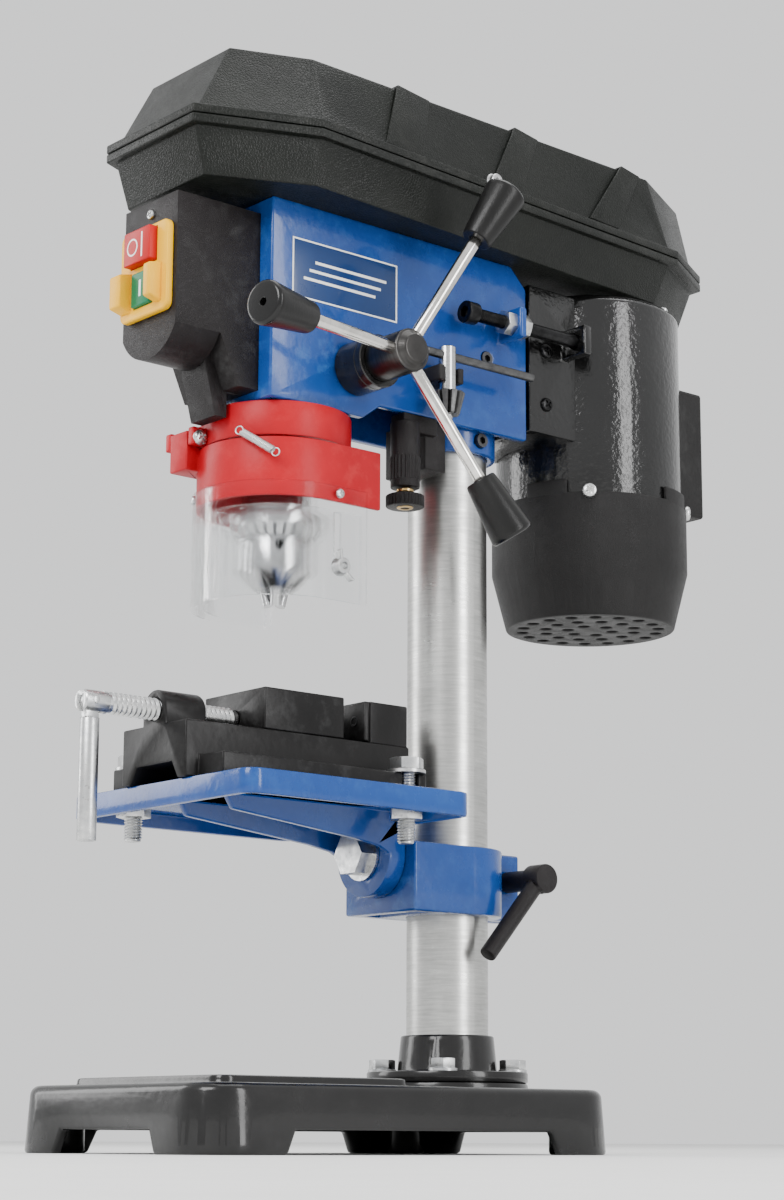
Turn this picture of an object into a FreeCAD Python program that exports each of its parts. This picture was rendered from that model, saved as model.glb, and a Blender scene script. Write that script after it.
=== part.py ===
import FreeCAD, Part
import math
import os
import re
import Sketcher

# Bench drill press. Millimetres, +Z up, +X to the operator's right, the operator stands at -Y.
# Origin: centre of the base on the bench top, between the four bench bolts.

os.makedirs("parts", exist_ok=True)
doc = FreeCAD.newDocument("DrillPress")
vector = FreeCAD.Vector

driving_sizes = {
    "Base and column": {
        "baseWidth": 180, "baseDepth": 280, "baseHeight": 34.5, "baseWall": 6, "baseCorner": 27,
        "baseDraft": 4, "baseRound": 5, "padRise": 4, "padMargin": 24, "padEnd": 8,
        "notchHeight": 12, "notchHalfFront": 39, "notchHalfSide": 86, "notchFlare": 6,
        "benchHoleX": 68, "benchHoleY": 118, "benchHoleRadius": 4.5, "benchBossRadius": 11,
        "columnY": 90, "columnRadius": 23, "columnWall": 2.5, "columnTop": 503,
        "flangeRadius": 45, "flangeThick": 6, "collarHeight": 26, "collarTopWall": 3,
        "collarFootWall": 5, "flangeBoltCircle": 36.5, "flangeBoltRadius": 4,
    },
    "Head": {
        "headHalf": 35, "headWall": 6, "headFront": -68, "headRear": 121.5, "headTop": 512.5,
        "headFloor": 408, "headChin": 399.2, "chinEnd": -2, "chinRise": 12, "headShoulder": 11.5,
        "throat": 126, "barrelRadius": 29.5, "barrelFoot": 406.5, "bossRadius": 28, "bossFoot": 396.5,
        "tensionX": 46, "tensionZ": 472, "lugY": 98.5, "lugThick": 5, "lugHalf": 9,
    },
    "Quill and spindle": {
        "quillRadius": 20, "quillFoot": 372, "quillTop": 494, "runningGap": 0.05,
        "spindleRadius": 6, "spindleTop": 580, "spindleFoot": 343, "taperRadius": 8,
        "bearingRadius": 15, "bearingHeight": 10, "gearModule": 1.25, "pinionTeeth": 14,
        "pinionHalf": 10, "rackTip": 0.9, "feedZ": 425, "quillTravel": 50,
    },
    "Feed": {
        "shaftRadius": 6.5, "journalRadius": 9, "hubRadius": 12, "hubStart": 58, "hubEnd": 84,
        "capEnd": 88, "capRadius": 7.7, "collarRadius": 15, "sideGap": 0.4, "spokeX": 78,
        "spokeRadius": 3.6, "spokeLength": 80, "spokeLean": 11, "spokeTurn": 61,
        "knobLength": 36, "knobSmall": 8.5, "knobLarge": 12, "springCapRadius": 24, "springCapDepth": 20,
    },
    "Drive": {
        "motorY": 206, "motorRadius": 56.7, "motorFoot": 380, "motorTop": 508, "motorWall": 2.5,
        "fanCoverRadius": 59.6, "fanCoverTop": 384, "fanCoverBend": 345, "fanCoverFoot": 311,
        "fanFootRadius": 51, "motorShaftRadius": 7, "pulleyFoot": 523, "stepHeight": 10,
        "grooveDepth": 4.5, "bigStep": 44, "smallStep": 24, "stepChange": 5, "radiusSum": 64,
        "sleeveRadius": 9, "topBearingRadius": 17.5, "shaftTop": 575, "bracketEnd": 165,
        "bracketFoot": 415, "bracketTop": 505, "bracketGap": 0.3, "bracketStart": 112,
    },
    "Belt cover": {
        "coverFloor": 512.5, "rimZ": 543.5, "lidGap": 0.5, "lidTop": 589.5, "coverWall": 2.5,
        "rimLip": 3, "lipThick": 5, "hingeX": -75, "hingeRadius": 5, "hingePegRadius": 2.5,
    },
    "Switch": {
        "boxHalf": 24.5, "boxFront": -123.7, "boxFoot": 431, "boxTop": 505, "boxWall": 2.5,
        "stopFoot": 468, "stopHeight": 19, "stopHalf": 12, "startFoot": 445, "startHeight": 19,
        "startHalf": 8.5, "buttonGap": 0.4, "buttonTravel": 3, "surroundHalf": 22,
        "surroundFoot": 439, "surroundTop": 489.5, "surroundThick": 4.3,
    },
    "Chuck and guard": {
        "chuckFoot": 301, "chuckTop": 357, "chuckRadius": 19.5, "neckRadius": 19, "sleeveFoot": 328.5,
        "sleeveTop": 342, "sleeveOuter": 25.3, "jawRadius": 3, "jawLean": 15, "jawLength": 28,
        "jawTip": 293, "jawOffset": 3.7, "jawTravel": 18,
        "clampRadius": 41.3, "clampFoot": 379, "clampTop": 398.5, "guardHingeY": -80,
        "guardHingeZ": 383, "holderRadius": 44, "holderFoot": 345, "holderTop": 377.5,
        "holderWall": 2.8, "holderEnd": 2.6, "shieldRadius": 46.2, "shieldWall": 2,
        "shieldFoot": 290, "shieldTop": 353, "shieldEnd": -8.5, "sliderRadius": 40.3,
        "sliderFoot": 291.5, "sliderTop": 341, "sliderTravel": 28, "studY": -29, "studZ": 308,
    },
    "Laser and key": {
        "laserX": 30, "laserY": 32, "laserRadius": 8.3, "laserFoot": 365, "laserKnobRadius": 10.5,
        "laserKnobFoot": 354, "laserKnobHeight": 7, "keyX": 50, "keyY": 46, "keyBarZ": 441,
        "keyBarRadius": 2.5, "keyBarLength": 82, "keyShaftRadius": 5, "keyFoot": 400,
    },
    "Table": {
        "tableHalf": 80.5, "tableFront": -112, "tableRear": 38, "tableTop": 189, "tableThick": 5,
        "skirtHeight": 13, "skirtWall": 4, "tableCorner": 9, "slotHalf": 5.5, "slotLength": 50,
        "boltX": 46, "boltY": 57, "tiltZ": 161, "tiltBossRadius": 23, "tiltBossFront": 28,
        "tiltFace": 40, "tiltGap": 0.3, "tiltBoltRadius": 7, "bracketRadius": 31,
        "bracketHalf": 30, "bracketLow": 130, "bracketHigh": 168, "earHalf": 9, "earRear": 137,
        "slitHalf": 1.5, "clampBoltY": 127, "clampBoltZ": 152, "clampBoltRadius": 4, "leverX": 37,
        "leverRadius": 4.8, "leverLength": 60, "leverTilt": 138,
    },
    "Vice": {
        "viceHalf": 49.5, "viceFlange": 12, "viceEarHalf": 68.5, "bodyHalf": 28.5, "bodyFront": -114,
        "bodyRear": 37, "railHeight": 30, "channelHalf": 20, "jawTop": 242, "fixedJawFace": 7,
        "jawHalf": 27, "jawFront": -8, "jawRear": -62, "screwZ": 227, "screwRadius": 6,
        "nutRadius": 10.5, "nutEnd": -88, "screwEnd": -160, "handlePivotY": -154, "handleRadius": 5,
        "handleLength": 72, "slideGap": 0.3,
    },
}

sheet = doc.addObject("Spreadsheet::Sheet", "Sizes")
aliases = set()
row = 1
for heading, group in driving_sizes.items():
    sheet.set("A%d" % row, heading)
    row += 1
    for alias, number in group.items():
        sheet.set("A%d" % row, alias)
        sheet.set("B%d" % row, str(number))
        sheet.setAlias("B%d" % row, alias)
        aliases.add(alias)
        row += 1
doc.recompute()

# Directions that a primitive's own Z axis can be turned to.
headings = {
    "Z": FreeCAD.Rotation(),
    "-Z": FreeCAD.Rotation(vector(1, 0, 0), 180),
    "X": FreeCAD.Rotation(vector(0, 1, 0), 90),
    "-X": FreeCAD.Rotation(vector(0, 1, 0), -90),
    "Y": FreeCAD.Rotation(vector(1, 0, 0), -90),
    "-Y": FreeCAD.Rotation(vector(1, 0, 0), 90),
}
nodes = []


def size(alias):
    """The value of one cell of the sheet."""
    return float(getattr(sheet, alias))


def bind(item, prop, expression):
    """Bind a property to an expression in which the sheet's aliases stand by themselves."""
    full = re.sub(r"[A-Za-z]\w*", lambda word: word.group() if word.group() not in aliases
                  else "Sizes." + word.group(), str(expression))
    item.setExpression(prop, full)


def put(item, at, heading="Z"):
    """Place an object at a point given as three expressions, its Z axis turned to a heading."""
    turn = headings[heading] if isinstance(heading, str) else heading
    item.Placement = FreeCAD.Placement(vector(0, 0, 0), turn)
    for letter, expression in zip("xyz", at):
        if str(expression) != "0":
            bind(item, "Placement.Base." + letter, expression)
    return item


def block(name, x, y, z):
    """A box between low and high expressions on each axis."""
    item = doc.addObject("Part::Box", name)
    for prop, (low, high) in zip(("Length", "Width", "Height"), (x, y, z)):
        bind(item, prop, "(%s) - (%s)" % (high, low))
    return put(item, (x[0], y[0], z[0]))


def middle(half):
    """Low and high expressions of a span centred on zero."""
    return "-(%s)" % half, half


def rod(name, radius, length, at, heading="Z"):
    item = doc.addObject("Part::Cylinder", name)
    bind(item, "Radius", radius)
    bind(item, "Height", length)
    return put(item, at, heading)


def cone(name, first, last, length, at, heading="Z"):
    item = doc.addObject("Part::Cone", name)
    bind(item, "Radius1", first)
    bind(item, "Radius2", last)
    bind(item, "Height", length)
    return put(item, at, heading)


def hexagon(name, radius, length, at, heading="Z"):
    item = doc.addObject("Part::Prism", name)
    item.Polygon = 6
    bind(item, "Circumradius", radius)
    bind(item, "Height", length)
    return put(item, at, heading)


def fuse(name, *pieces):
    item = doc.addObject("Part::MultiFuse", name)
    item.Shapes = list(pieces)
    return item


def cut(name, base, *tools):
    item = doc.addObject("Part::Cut", name)
    item.Base = base
    item.Tool = tools[0] if len(tools) == 1 else fuse(name + "Tools", *tools)
    return item


def common(name, *pieces):
    item = doc.addObject("Part::MultiCommon", name)
    item.Shapes = list(pieces)
    return item


def group(name, *pieces):
    item = doc.addObject("Part::Compound", name)
    item.Links = list(pieces)
    return item


def tube(name, outer, inner, length, at, heading="Z"):
    return cut(name, rod(name + "Outer", outer, length, at, heading),
               rod(name + "Bore", inner, length, at, heading))


def node(name, item):
    """Name a finished sub-part after its file."""
    item.Label = name
    nodes.append((name, item))
    return item


def plane(body, role):
    return next(feature for feature in body.Origin.OriginFeatures if feature.Role == role)


def outline(sketch, points):
    """A closed outline whose corners are held by expressions; a corner on the axis uses "0"."""
    count = len(points)
    spread = [vector(10 * math.cos(6.28 * k / count), 10 * math.sin(6.28 * k / count), 0)
              for k in range(count)]
    for k in range(count):
        sketch.addGeometry(Part.LineSegment(spread[k], spread[(k + 1) % count]), False)
    for k in range(count):
        sketch.addConstraint(Sketcher.Constraint("Coincident", k, 2, (k + 1) % count, 1))
    for k, (across, along) in enumerate(points):
        for kind, expression, axis in (("DistanceX", across, -2), ("DistanceY", along, -1)):
            if str(expression) == "0":
                sketch.addConstraint(Sketcher.Constraint("PointOnObject", k, 1, axis))
            else:
                held = sketch.addConstraint(Sketcher.Constraint(kind, -1, 1, k, 1, 5.0))
                bind(sketch, "Constraints[%d]" % held, expression)


def flat_sketch(name, points, at=("0", "0", "0"), facing="Z"):
    """A free sketch. facing Z lies in XY; X lies in YZ with corners given as (y, z)."""
    sketch = doc.addObject("Sketcher::SketchObject", name)
    outline(sketch, points)
    turn = {"Z": FreeCAD.Rotation(), "X": FreeCAD.Rotation(vector(1, 1, 1), 120),
            "Y": FreeCAD.Rotation(vector(1, 0, 0), 90)}[facing]
    return put(sketch, at, turn)


def extruded(name, points, low, high, facing="Z"):
    """An outline extruded between two expressions along its facing axis."""
    letter = "XYZ".index(facing)
    at = ["0", "0", "0"]
    at[letter] = low
    item = doc.addObject("Part::Extrusion", name)
    item.Base = flat_sketch(name + "Outline", points, at, facing)
    item.DirMode = "Custom"
    item.Dir = vector(*[1.0 if k == letter else 0.0 for k in range(3)])
    item.Solid = True
    bind(item, "LengthFwd", "(%s) - (%s)" % (high, low))
    return item


def turned(name, points, at=("0", "0", "0"), heading="Z"):
    """A lathe-turned body from an outline of (radius, height) corners."""
    body = doc.addObject("PartDesign::Body", name)
    sketch = body.newObject("Sketcher::SketchObject", name + "Outline")
    sketch.AttachmentSupport = [(plane(body, "XZ_Plane"), "")]
    sketch.MapMode = "FlatFace"
    outline(sketch, points)
    turning = body.newObject("PartDesign::Revolution", name + "Turning")
    turning.Profile = sketch
    turning.ReferenceAxis = (sketch, ["V_Axis"])
    turning.Angle = 360
    body.Tip = turning
    return put(body, at, heading)


def edge_names(shape, test):
    return ["Edge%d" % (k + 1) for k, edge in enumerate(shape.Edges) if test(edge)]


def upright(edge):
    first, last = edge.Vertexes[0].Point, edge.Vertexes[-1].Point
    return abs(first.z - last.z) > 1.0


def tray_block(name, half_width, low_y, high_y, low_z, high_z, corner, draft=None, edge_round=None):
    """A padded rectangle with rounded upright edges, and drafted walls or a rounded top on request."""
    body = doc.addObject("PartDesign::Body", name)
    sketch = body.newObject("Sketcher::SketchObject", name + "Outline")
    sketch.AttachmentSupport = [(plane(body, "XY_Plane"), "")]
    sketch.MapMode = "FlatFace"
    bind(sketch, "AttachmentOffset.Base.z", low_z)
    outline(sketch, [("-(%s)" % half_width, low_y), (half_width, low_y),
                     (half_width, high_y), ("-(%s)" % half_width, high_y)])
    pad = body.newObject("PartDesign::Pad", name + "Pad")
    pad.Profile = sketch
    bind(pad, "Length", "(%s) - (%s)" % (high_z, low_z))
    doc.recompute()
    corners = body.newObject("PartDesign::Fillet", name + "Corners")
    corners.Base = (pad, edge_names(pad.Shape, upright))
    bind(corners, "Radius", corner)
    body.Tip = corners
    if draft:
        doc.recompute()
        walls = ["Face%d" % (k + 1) for k, face in enumerate(corners.Shape.Faces)
                 if abs(face.normalAt(0, 0).z) < 0.1]
        drafted = body.newObject("PartDesign::Draft", name + "Draft")
        drafted.Base = (corners, walls)
        drafted.NeutralPlane = (plane(body, "XY_Plane"), [""])
        bind(drafted, "Angle", draft)
        corners = drafted
        body.Tip = drafted
    if edge_round:
        doc.recompute()
        top = max(vertex.Z for vertex in corners.Shape.Vertexes)
        rim = body.newObject("PartDesign::Fillet", name + "Rim")
        rim.Base = (corners, edge_names(corners.Shape, lambda edge: min(v.Z for v in edge.Vertexes) > top - 0.01))
        bind(rim, "Radius", edge_round)
        body.Tip = rim
    return body


# ---------------------------------------------------------------- base and column

deck = "baseHeight + padRise"
base_shell = cut(
    "BaseShell",
    tray_block("BaseOuter", "baseWidth / 2", "-baseDepth / 2", "baseDepth / 2", "0", "baseHeight",
               "baseCorner", "baseDraft", "baseRound"),
    tray_block("BaseInner", "baseWidth / 2 - baseWall", "baseWall - baseDepth / 2",
               "baseDepth / 2 - baseWall", "-1", "baseHeight - baseWall", "baseCorner - baseWall",
               "baseDraft"))
pad_half = "baseWidth / 2 - padMargin"
work_pad = tray_block("WorkPad", pad_half, "padMargin - baseDepth / 2", "padEnd",
                      "baseHeight - baseWall / 2", deck, "baseCorner / 3")
column_pad = rod("ColumnPad", "flangeRadius", "padRise + baseWall",
                 ("0", "columnY", "baseHeight - baseWall"))
notch_corners = [("-(%s) - notchFlare", "-1"), ("%s + notchFlare", "-1"), ("%s", "notchHeight"),
                 ("-(%s)", "notchHeight")]
front_notch = extruded("FrontNotch", [(a.replace("%s", "notchHalfFront"), b) for a, b in notch_corners],
                       "baseDepth", "-baseDepth", "Y")
side_notch = extruded("SideNotch", [(a.replace("%s", "notchHalfSide"), b) for a, b in notch_corners],
                      "-baseWidth", "baseWidth", "X")
notched = cut("NotchedShell", base_shell, front_notch, side_notch)
bench_bosses = []
bench_holes = []
for sign_x in (-1, 1):
    for sign_y in (-1, 1):
        tag = "%s%s" % ("LR"[sign_x > 0], "FB"[sign_y > 0])
        spot = ("%d * benchHoleX" % sign_x, "%d * benchHoleY" % sign_y, "0")
        bench_bosses.append(rod("BenchBoss" + tag, "benchBossRadius", "baseHeight - baseWall / 2", spot))
        bench_holes.append(rod("BenchHole" + tag, "benchHoleRadius", "baseHeight + 20", spot[:2] + ("-5",)))
flange_holes = []
for k in range(4):
    across = math.cos(math.radians(45 + 90 * k))
    along = math.sin(math.radians(45 + 90 * k))
    flange_holes.append(rod("BaseTap%d" % k, "flangeBoltRadius", "baseHeight",
                            ("%.6f * flangeBoltCircle" % across, "columnY + %.6f * flangeBoltCircle" % along,
                             "baseHeight / 2")))
node("base", cut("Base", fuse("BaseBlank", notched, work_pad, column_pad, *bench_bosses),
                 *bench_holes, *flange_holes))

flange = doc.addObject("PartDesign::Body", "ColumnFlange")
flange_sketch = flange.newObject("Sketcher::SketchObject", "FlangeOutline")
flange_sketch.AttachmentSupport = [(plane(flange, "XZ_Plane"), "")]
flange_sketch.MapMode = "FlatFace"
outline(flange_sketch, [("columnRadius", "0"), ("flangeRadius", "0"), ("flangeRadius", "flangeThick"),
                        ("columnRadius + collarFootWall", "flangeThick"),
                        ("columnRadius + collarTopWall", "collarHeight"),
                        ("columnRadius", "collarHeight")])
flange_turning = flange.newObject("PartDesign::Revolution", "FlangeTurning")
flange_turning.Profile = flange_sketch
flange_turning.ReferenceAxis = (flange_sketch, ["V_Axis"])
flange_turning.Angle = 360
hole_sketch = flange.newObject("Sketcher::SketchObject", "FlangeHole")
hole_sketch.AttachmentSupport = [(plane(flange, "XY_Plane"), "")]
hole_sketch.MapMode = "FlatFace"
hole_sketch.addGeometry(Part.Circle(vector(25, 25, 0), vector(0, 0, 1), 4), False)
for kind in ("DistanceX", "DistanceY"):
    held = hole_sketch.addConstraint(Sketcher.Constraint(kind, -1, 1, 0, 3, 25.0))
    bind(hole_sketch, "Constraints[%d]" % held, "flangeBoltCircle * sqrt(0.5)")
held = hole_sketch.addConstraint(Sketcher.Constraint("Radius", 0, 4.0))
bind(hole_sketch, "Constraints[%d]" % held, "flangeBoltRadius")
hole_pocket = flange.newObject("PartDesign::Pocket", "FlangeHolePocket")
hole_pocket.Profile = hole_sketch
hole_pocket.Reversed = True
bind(hole_pocket, "Length", "flangeThick")
hole_pattern = flange.newObject("PartDesign::PolarPattern", "FlangeHoles")
hole_pattern.Originals = [hole_pocket]
hole_pattern.Axis = (plane(flange, "Z_Axis"), [""])
hole_pattern.Angle = 360
hole_pattern.Occurrences = 4
flange.Tip = hole_pattern
node("column_flange", put(flange, ("0", "columnY", deck)))

node("column", tube("Column", "columnRadius", "columnRadius - columnWall",
                    "columnTop - baseHeight - padRise", ("0", "columnY", deck)))

bolts = []
for k in range(4):
    across = math.cos(math.radians(45 + 90 * k))
    along = math.sin(math.radians(45 + 90 * k))
    seat = ("%.6f * flangeBoltCircle" % across, "columnY + %.6f * flangeBoltCircle" % along)
    top = deck + " + flangeThick"
    bolts.append(fuse("FlangeBolt%d" % k,
                      rod("FlangeWasher%d" % k, "flangeBoltRadius * 2", "1.6", seat + (top,)),
                      hexagon("FlangeHead%d" % k, "flangeBoltRadius * 1.85", "5.3", seat + (top + " + 1.6",)),
                      rod("FlangeShank%d" % k, "flangeBoltRadius", "22", seat + (top + " - 22",))))
node("flange_bolts", group("FlangeBolts", *bolts))

# ---------------------------------------------------------------- head casting

spindle_y = "columnY - throat"
pitch_radius = "gearModule * pinionTeeth / 2"
rack_depth = 2.0                       # pitch line of the rack below the quill's surface
feed_y = "columnY - throat + quillRadius - %s + %s" % (rack_depth, pitch_radius)

head_outline = [("headFront", "headChin"), ("chinEnd", "headChin"), ("chinEnd + chinRise", "headFloor"),
                ("headRear", "headFloor"), ("headRear", "headTop - headShoulder"),
                ("headRear - headShoulder", "headTop"), ("headFront", "headTop")]
head_block = extruded("HeadBlock", head_outline, "-headHalf", "headHalf", "X")
head_inside = block("HeadInside", middle("headHalf - headWall"), ("headFront + headWall", "headRear + 1"),
                    ("headChin - 1", "headTop - headWall"))
barrel = rod("QuillBarrel", "barrelRadius", "headTop - barrelFoot", ("0", spindle_y, "barrelFoot"))
boss = rod("ColumnBoss", "bossRadius", "headTop - bossFoot", ("0", "columnY", "bossFoot"))
lug = block("TensionLug", ("headHalf - 2", "tensionX + lugHalf"), ("lugY", "lugY + lugThick"),
            ("tensionZ - lugHalf", "tensionZ + lugHalf"))
spring_pad = rod("SpringPad", "springCapRadius - 3", "3", ("-headHalf", feed_y, "feedZ"), "-X")
quill_bore = rod("QuillBore", "quillRadius + runningGap", "quillTop + 2 - barrelFoot + 5",
                 ("0", spindle_y, "barrelFoot - 5"))
spindle_pass = rod("SpindlePass", "sleeveRadius + 3", "10", ("0", spindle_y, "quillTop"))
top_bore = rod("TopBearingBore", "topBearingRadius", "30", ("0", spindle_y, "headTop - 15"))
column_bore = rod("ColumnBore", "columnRadius", "columnTop - bossFoot + 5", ("0", "columnY", "bossFoot - 5"))
feed_bore = rod("FeedBore", "journalRadius + 0.1", "200", ("-100", feed_y, "feedZ"), "X")
pinion_room = block("PinionRoom", middle("pinionHalf + 2"), (spindle_y, feed_y + " + 12"),
                    ("feedZ - 12", "feedZ + 12"))
rack_room = block("RackRoom", middle("pinionHalf + 2"), (spindle_y, feed_y), ("barrelFoot - 5", "quillTop + 2"))
set_holes = [rod("SetHoleLow", "4", "20", ("columnRadius", "columnY + 1", "404"), "X"),
             rod("SetHoleHigh", "4", "20", ("columnRadius", "columnY", "452"), "X")]
lug_hole = rod("LugHole", "4", "20", ("tensionX", "lugY - 5", "tensionZ"), "Y")
node("head_casting", cut("HeadCasting",
                         fuse("HeadBlank", cut("HeadShell", head_block, head_inside), barrel, boss, lug, spring_pad),
                         quill_bore, spindle_pass, top_bore, column_bore, feed_bore, pinion_room, rack_room, lug_hole,
                         *set_holes))

set_screws = []
for k, (end, at_y, at_z) in enumerate((("30", "columnY + 1", "404"), ("headHalf + 0.5", "columnY", "452"))):
    set_screws.append(cut("SetScrew%d" % k,
                          rod("SetScrewBody%d" % k, "4", "(%s) - columnRadius" % end,
                              ("columnRadius", at_y, at_z), "X"),
                          hexagon("SetScrewSocket%d" % k, "2.3", "6", ("(%s) - 3" % end, at_y, at_z), "X")))
node("head_set_screws", group("SetScrews", *set_screws))

# ---------------------------------------------------------------- switch box

box_main = block("BoxMain", middle("boxHalf"), ("boxFront", "headFront"), ("boxFoot", "boxTop"))
box_heel = extruded("BoxHeel", [("boxFront + 30", "boxFoot"), ("headFront", "boxFoot"), ("headFront", "boxFoot - 27"),
                                ("boxFront + 42", "boxFoot - 27")], "-boxHalf", "boxHalf", "X")
box_lobe = common("BoxLobe",
                  rod("LobeRound", "boxHalf + 3", "29", ("0", "boxFront", "boxFoot + 12.5"), "Y"),
                  block("LobeLimit", middle("boxHalf"), ("boxFront", "boxFront + 29"),
                        ("boxFoot - 16", "boxFoot + 5")))
box_chute = extruded("BoxChute", [("boxFront + 26", "boxFoot"), ("headFront", "boxFoot"),
                                  ("headFront", "boxFoot - 27"), ("boxFront + 44.5", "boxFoot - 28"),
                                  ("boxFront + 44.5", "boxFoot - 41.5"), ("boxFront + 37", "boxFoot - 41.5")],
                     "-11", "11", "X")
box_inside = block("BoxInside", middle("boxHalf - boxWall"), ("boxFront + boxWall", "headFront + 1"),
                   ("boxFoot + boxWall", "boxTop - boxWall"))
stop_span = ("stopFoot - buttonGap", "stopFoot + stopHeight + buttonGap")
start_span = ("startFoot - buttonGap", "startFoot + startHeight + buttonGap")
window_depth = ("boxFront - 20", "boxFront + 5")
box_windows = [block("StopWindow", middle("stopHalf + buttonGap"), window_depth, stop_span),
               block("StartWindow", middle("startHalf + buttonGap"), window_depth, start_span)]
node("switch_box", cut("SwitchBox", fuse("BoxBlank", box_main, box_heel, box_lobe, box_chute),
                       box_inside, *box_windows))

surround_plate = block("SurroundPlate", middle("surroundHalf"), ("boxFront - surroundThick", "boxFront"),
                       ("surroundFoot", "surroundTop"))
skirt_depth = ("boxFront - surroundThick - 8", "boxFront - surroundThick + 1")
skirts = [block("SkirtLeft", ("-surroundHalf + 2", "-startHalf - 2"), skirt_depth, ("startFoot - 2", "stopFoot - 2")),
          block("SkirtRight", ("startHalf + 2", "surroundHalf - 6"), skirt_depth, ("startFoot - 2", "stopFoot - 2"))]
surround_windows = [block("StopFrame", middle("stopHalf + buttonGap"), window_depth, stop_span),
                    block("StartFrame", middle("startHalf + buttonGap"), window_depth, start_span)]
node("switch_surround", cut("SwitchSurround", fuse("SurroundBlank", surround_plate, *skirts),
                            *surround_windows))
button_back = "boxFront + 5.7"
node("stop_button", block("StopButton", middle("stopHalf"), ("boxFront - 9.5", button_back),
                          ("stopFoot", "stopFoot + stopHeight")))
node("start_button", block("StartButton", middle("startHalf"), ("boxFront - 6.5", button_back),
                           ("startFoot", "startFoot + startHeight")))
module_face = "boxFront + 5.7 + buttonTravel + 0.5"
node("switch_module", fuse("SwitchModule",
                           block("ModuleBody", middle("17"), (module_face, "boxFront + 38"),
                                 ("startFoot - 1", "stopFoot + stopHeight + 1")),
                           block("ModuleRailLeft", ("-20", "-14"), ("boxFront + boxWall", module_face + " + 3"),
                                 ("startFoot", "stopFoot + stopHeight")),
                           block("ModuleRailRight", ("14", "20"), ("boxFront + boxWall", module_face + " + 3"),
                                 ("startFoot", "stopFoot + stopHeight"))))

# ---------------------------------------------------------------- feed: pinion shaft, hub, spokes, knobs


def pinion_shape():
    """Involute pinion about +X, a tooth space facing -Y, with a little backlash."""
    module = size("gearModule")
    teeth = int(size("pinionTeeth"))
    half = size("pinionHalf")
    pitch = module * teeth / 2
    base = pitch * math.cos(math.radians(20))
    tip = pitch + module * 0.95
    root = pitch - module * 1.15
    backlash = 0.12
    half_tooth = math.pi / (2 * teeth) - backlash / (2 * pitch)
    roll_at_pitch = math.tan(math.radians(20)) - math.radians(20)

    def flank(radius):
        angle = math.acos(base / radius)
        return half_tooth - (math.tan(angle) - angle - roll_at_pitch)

    steps = [base + 0.001 + (tip - base - 0.001) * k / 6 for k in range(7)]
    edges = []
    start = None
    last = None
    for tooth in range(teeth):
        middle_angle = 2 * math.pi * (tooth + 0.5) / teeth + math.pi
        rising = [(root, half_tooth + roll_at_pitch)] + [(r, flank(r)) for r in steps]
        points = [vector(-half, r * math.cos(middle_angle - a), r * math.sin(middle_angle - a)) for r, a in rising]
        points += [vector(-half, r * math.cos(middle_angle + a), r * math.sin(middle_angle + a))
                   for r, a in reversed(rising)]
        if last is not None:
            edges.append(Part.LineSegment(last, points[0]).toShape())
        else:
            start = points[0]
        edges += [Part.LineSegment(first, second).toShape() for first, second in zip(points, points[1:])]
        last = points[-1]
    edges.append(Part.LineSegment(last, start).toShape())
    return Part.Face(Part.Wire(edges)).extrude(vector(2 * half, 0, 0))


pinion = doc.addObject("Part::Feature", "Pinion")
pinion.Shape = pinion_shape()
put(pinion, ("0", feed_y, "feedZ"))
cap_depth = "headHalf + springCapDepth"
shaft_core = rod("ShaftCore", "shaftRadius", cap_depth + " + headHalf - 5", ("-(%s) + 5" % cap_depth, feed_y, "feedZ"), "X")
journal = rod("ShaftJournal", "journalRadius", "hubStart - pinionHalf - 3", ("pinionHalf + 3", feed_y, "feedZ"), "X")
left_journal = rod("LeftJournal", "journalRadius", "headHalf - pinionHalf - 3", ("-headHalf", feed_y, "feedZ"), "X")
hub = rod("FeedHub", "hubRadius", "hubEnd - hubStart", ("hubStart", feed_y, "feedZ"), "X")
hub_cap = cone("FeedHubCap", "hubRadius - 1", "capRadius", "capEnd - hubEnd", ("hubEnd", feed_y, "feedZ"), "X")
node("feed_shaft", fuse("FeedShaft", pinion, shaft_core, journal, left_journal, hub, hub_cap))

spokes = []
knobs = []
for k in range(3):
    angle = math.radians(size("spokeTurn") + 120 * k)
    lean = math.radians(size("spokeLean"))
    direction = vector(math.sin(lean), math.cos(lean) * math.cos(angle), math.cos(lean) * math.sin(angle))
    turn = FreeCAD.Rotation(vector(0, 0, 1), direction)

    def along_spoke(distance):
        return ("spokeX + (%s) * %.6f" % (distance, direction.x), "%s + (%s) * %.6f" % (feed_y, distance, direction.y),
                "feedZ + (%s) * %.6f" % (distance, direction.z))

    spokes.append(rod("Spoke%d" % k, "spokeRadius", "spokeLength - hubRadius + 8", along_spoke("hubRadius - 4"), turn))
    knob_body = doc.addObject("PartDesign::Body", "Knob%d" % k)
    knob_sketch = knob_body.newObject("Sketcher::SketchObject", "KnobOutline%d" % k)
    knob_sketch.AttachmentSupport = [(plane(knob_body, "XZ_Plane"), "")]
    knob_sketch.MapMode = "FlatFace"
    outline(knob_sketch, [("spokeRadius", "0"), ("knobSmall", "0"), ("knobLarge", "knobLength - 3"),
                          ("knobLarge - 2", "knobLength"), ("3", "knobLength"), ("3", "knobLength - 3"),
                          ("0", "knobLength - 3"), ("0", "4.01"), ("spokeRadius", "4.01")])
    knob_turning = knob_body.newObject("PartDesign::Revolution", "KnobTurning%d" % k)
    knob_turning.Profile = knob_sketch
    knob_turning.ReferenceAxis = (knob_sketch, ["V_Axis"])
    knob_turning.Angle = 360
    knobs.append(put(knob_body, along_spoke("spokeLength"), turn))
node("feed_spokes", group("FeedSpokes", *spokes))
node("feed_knobs", group("FeedKnobs", *knobs))

node("depth_collar", tube("DepthCollar", "collarRadius", "journalRadius + runningGap",
                          "hubStart - headHalf - 2 * sideGap", ("headHalf + sideGap", feed_y, "feedZ"), "X"))

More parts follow.
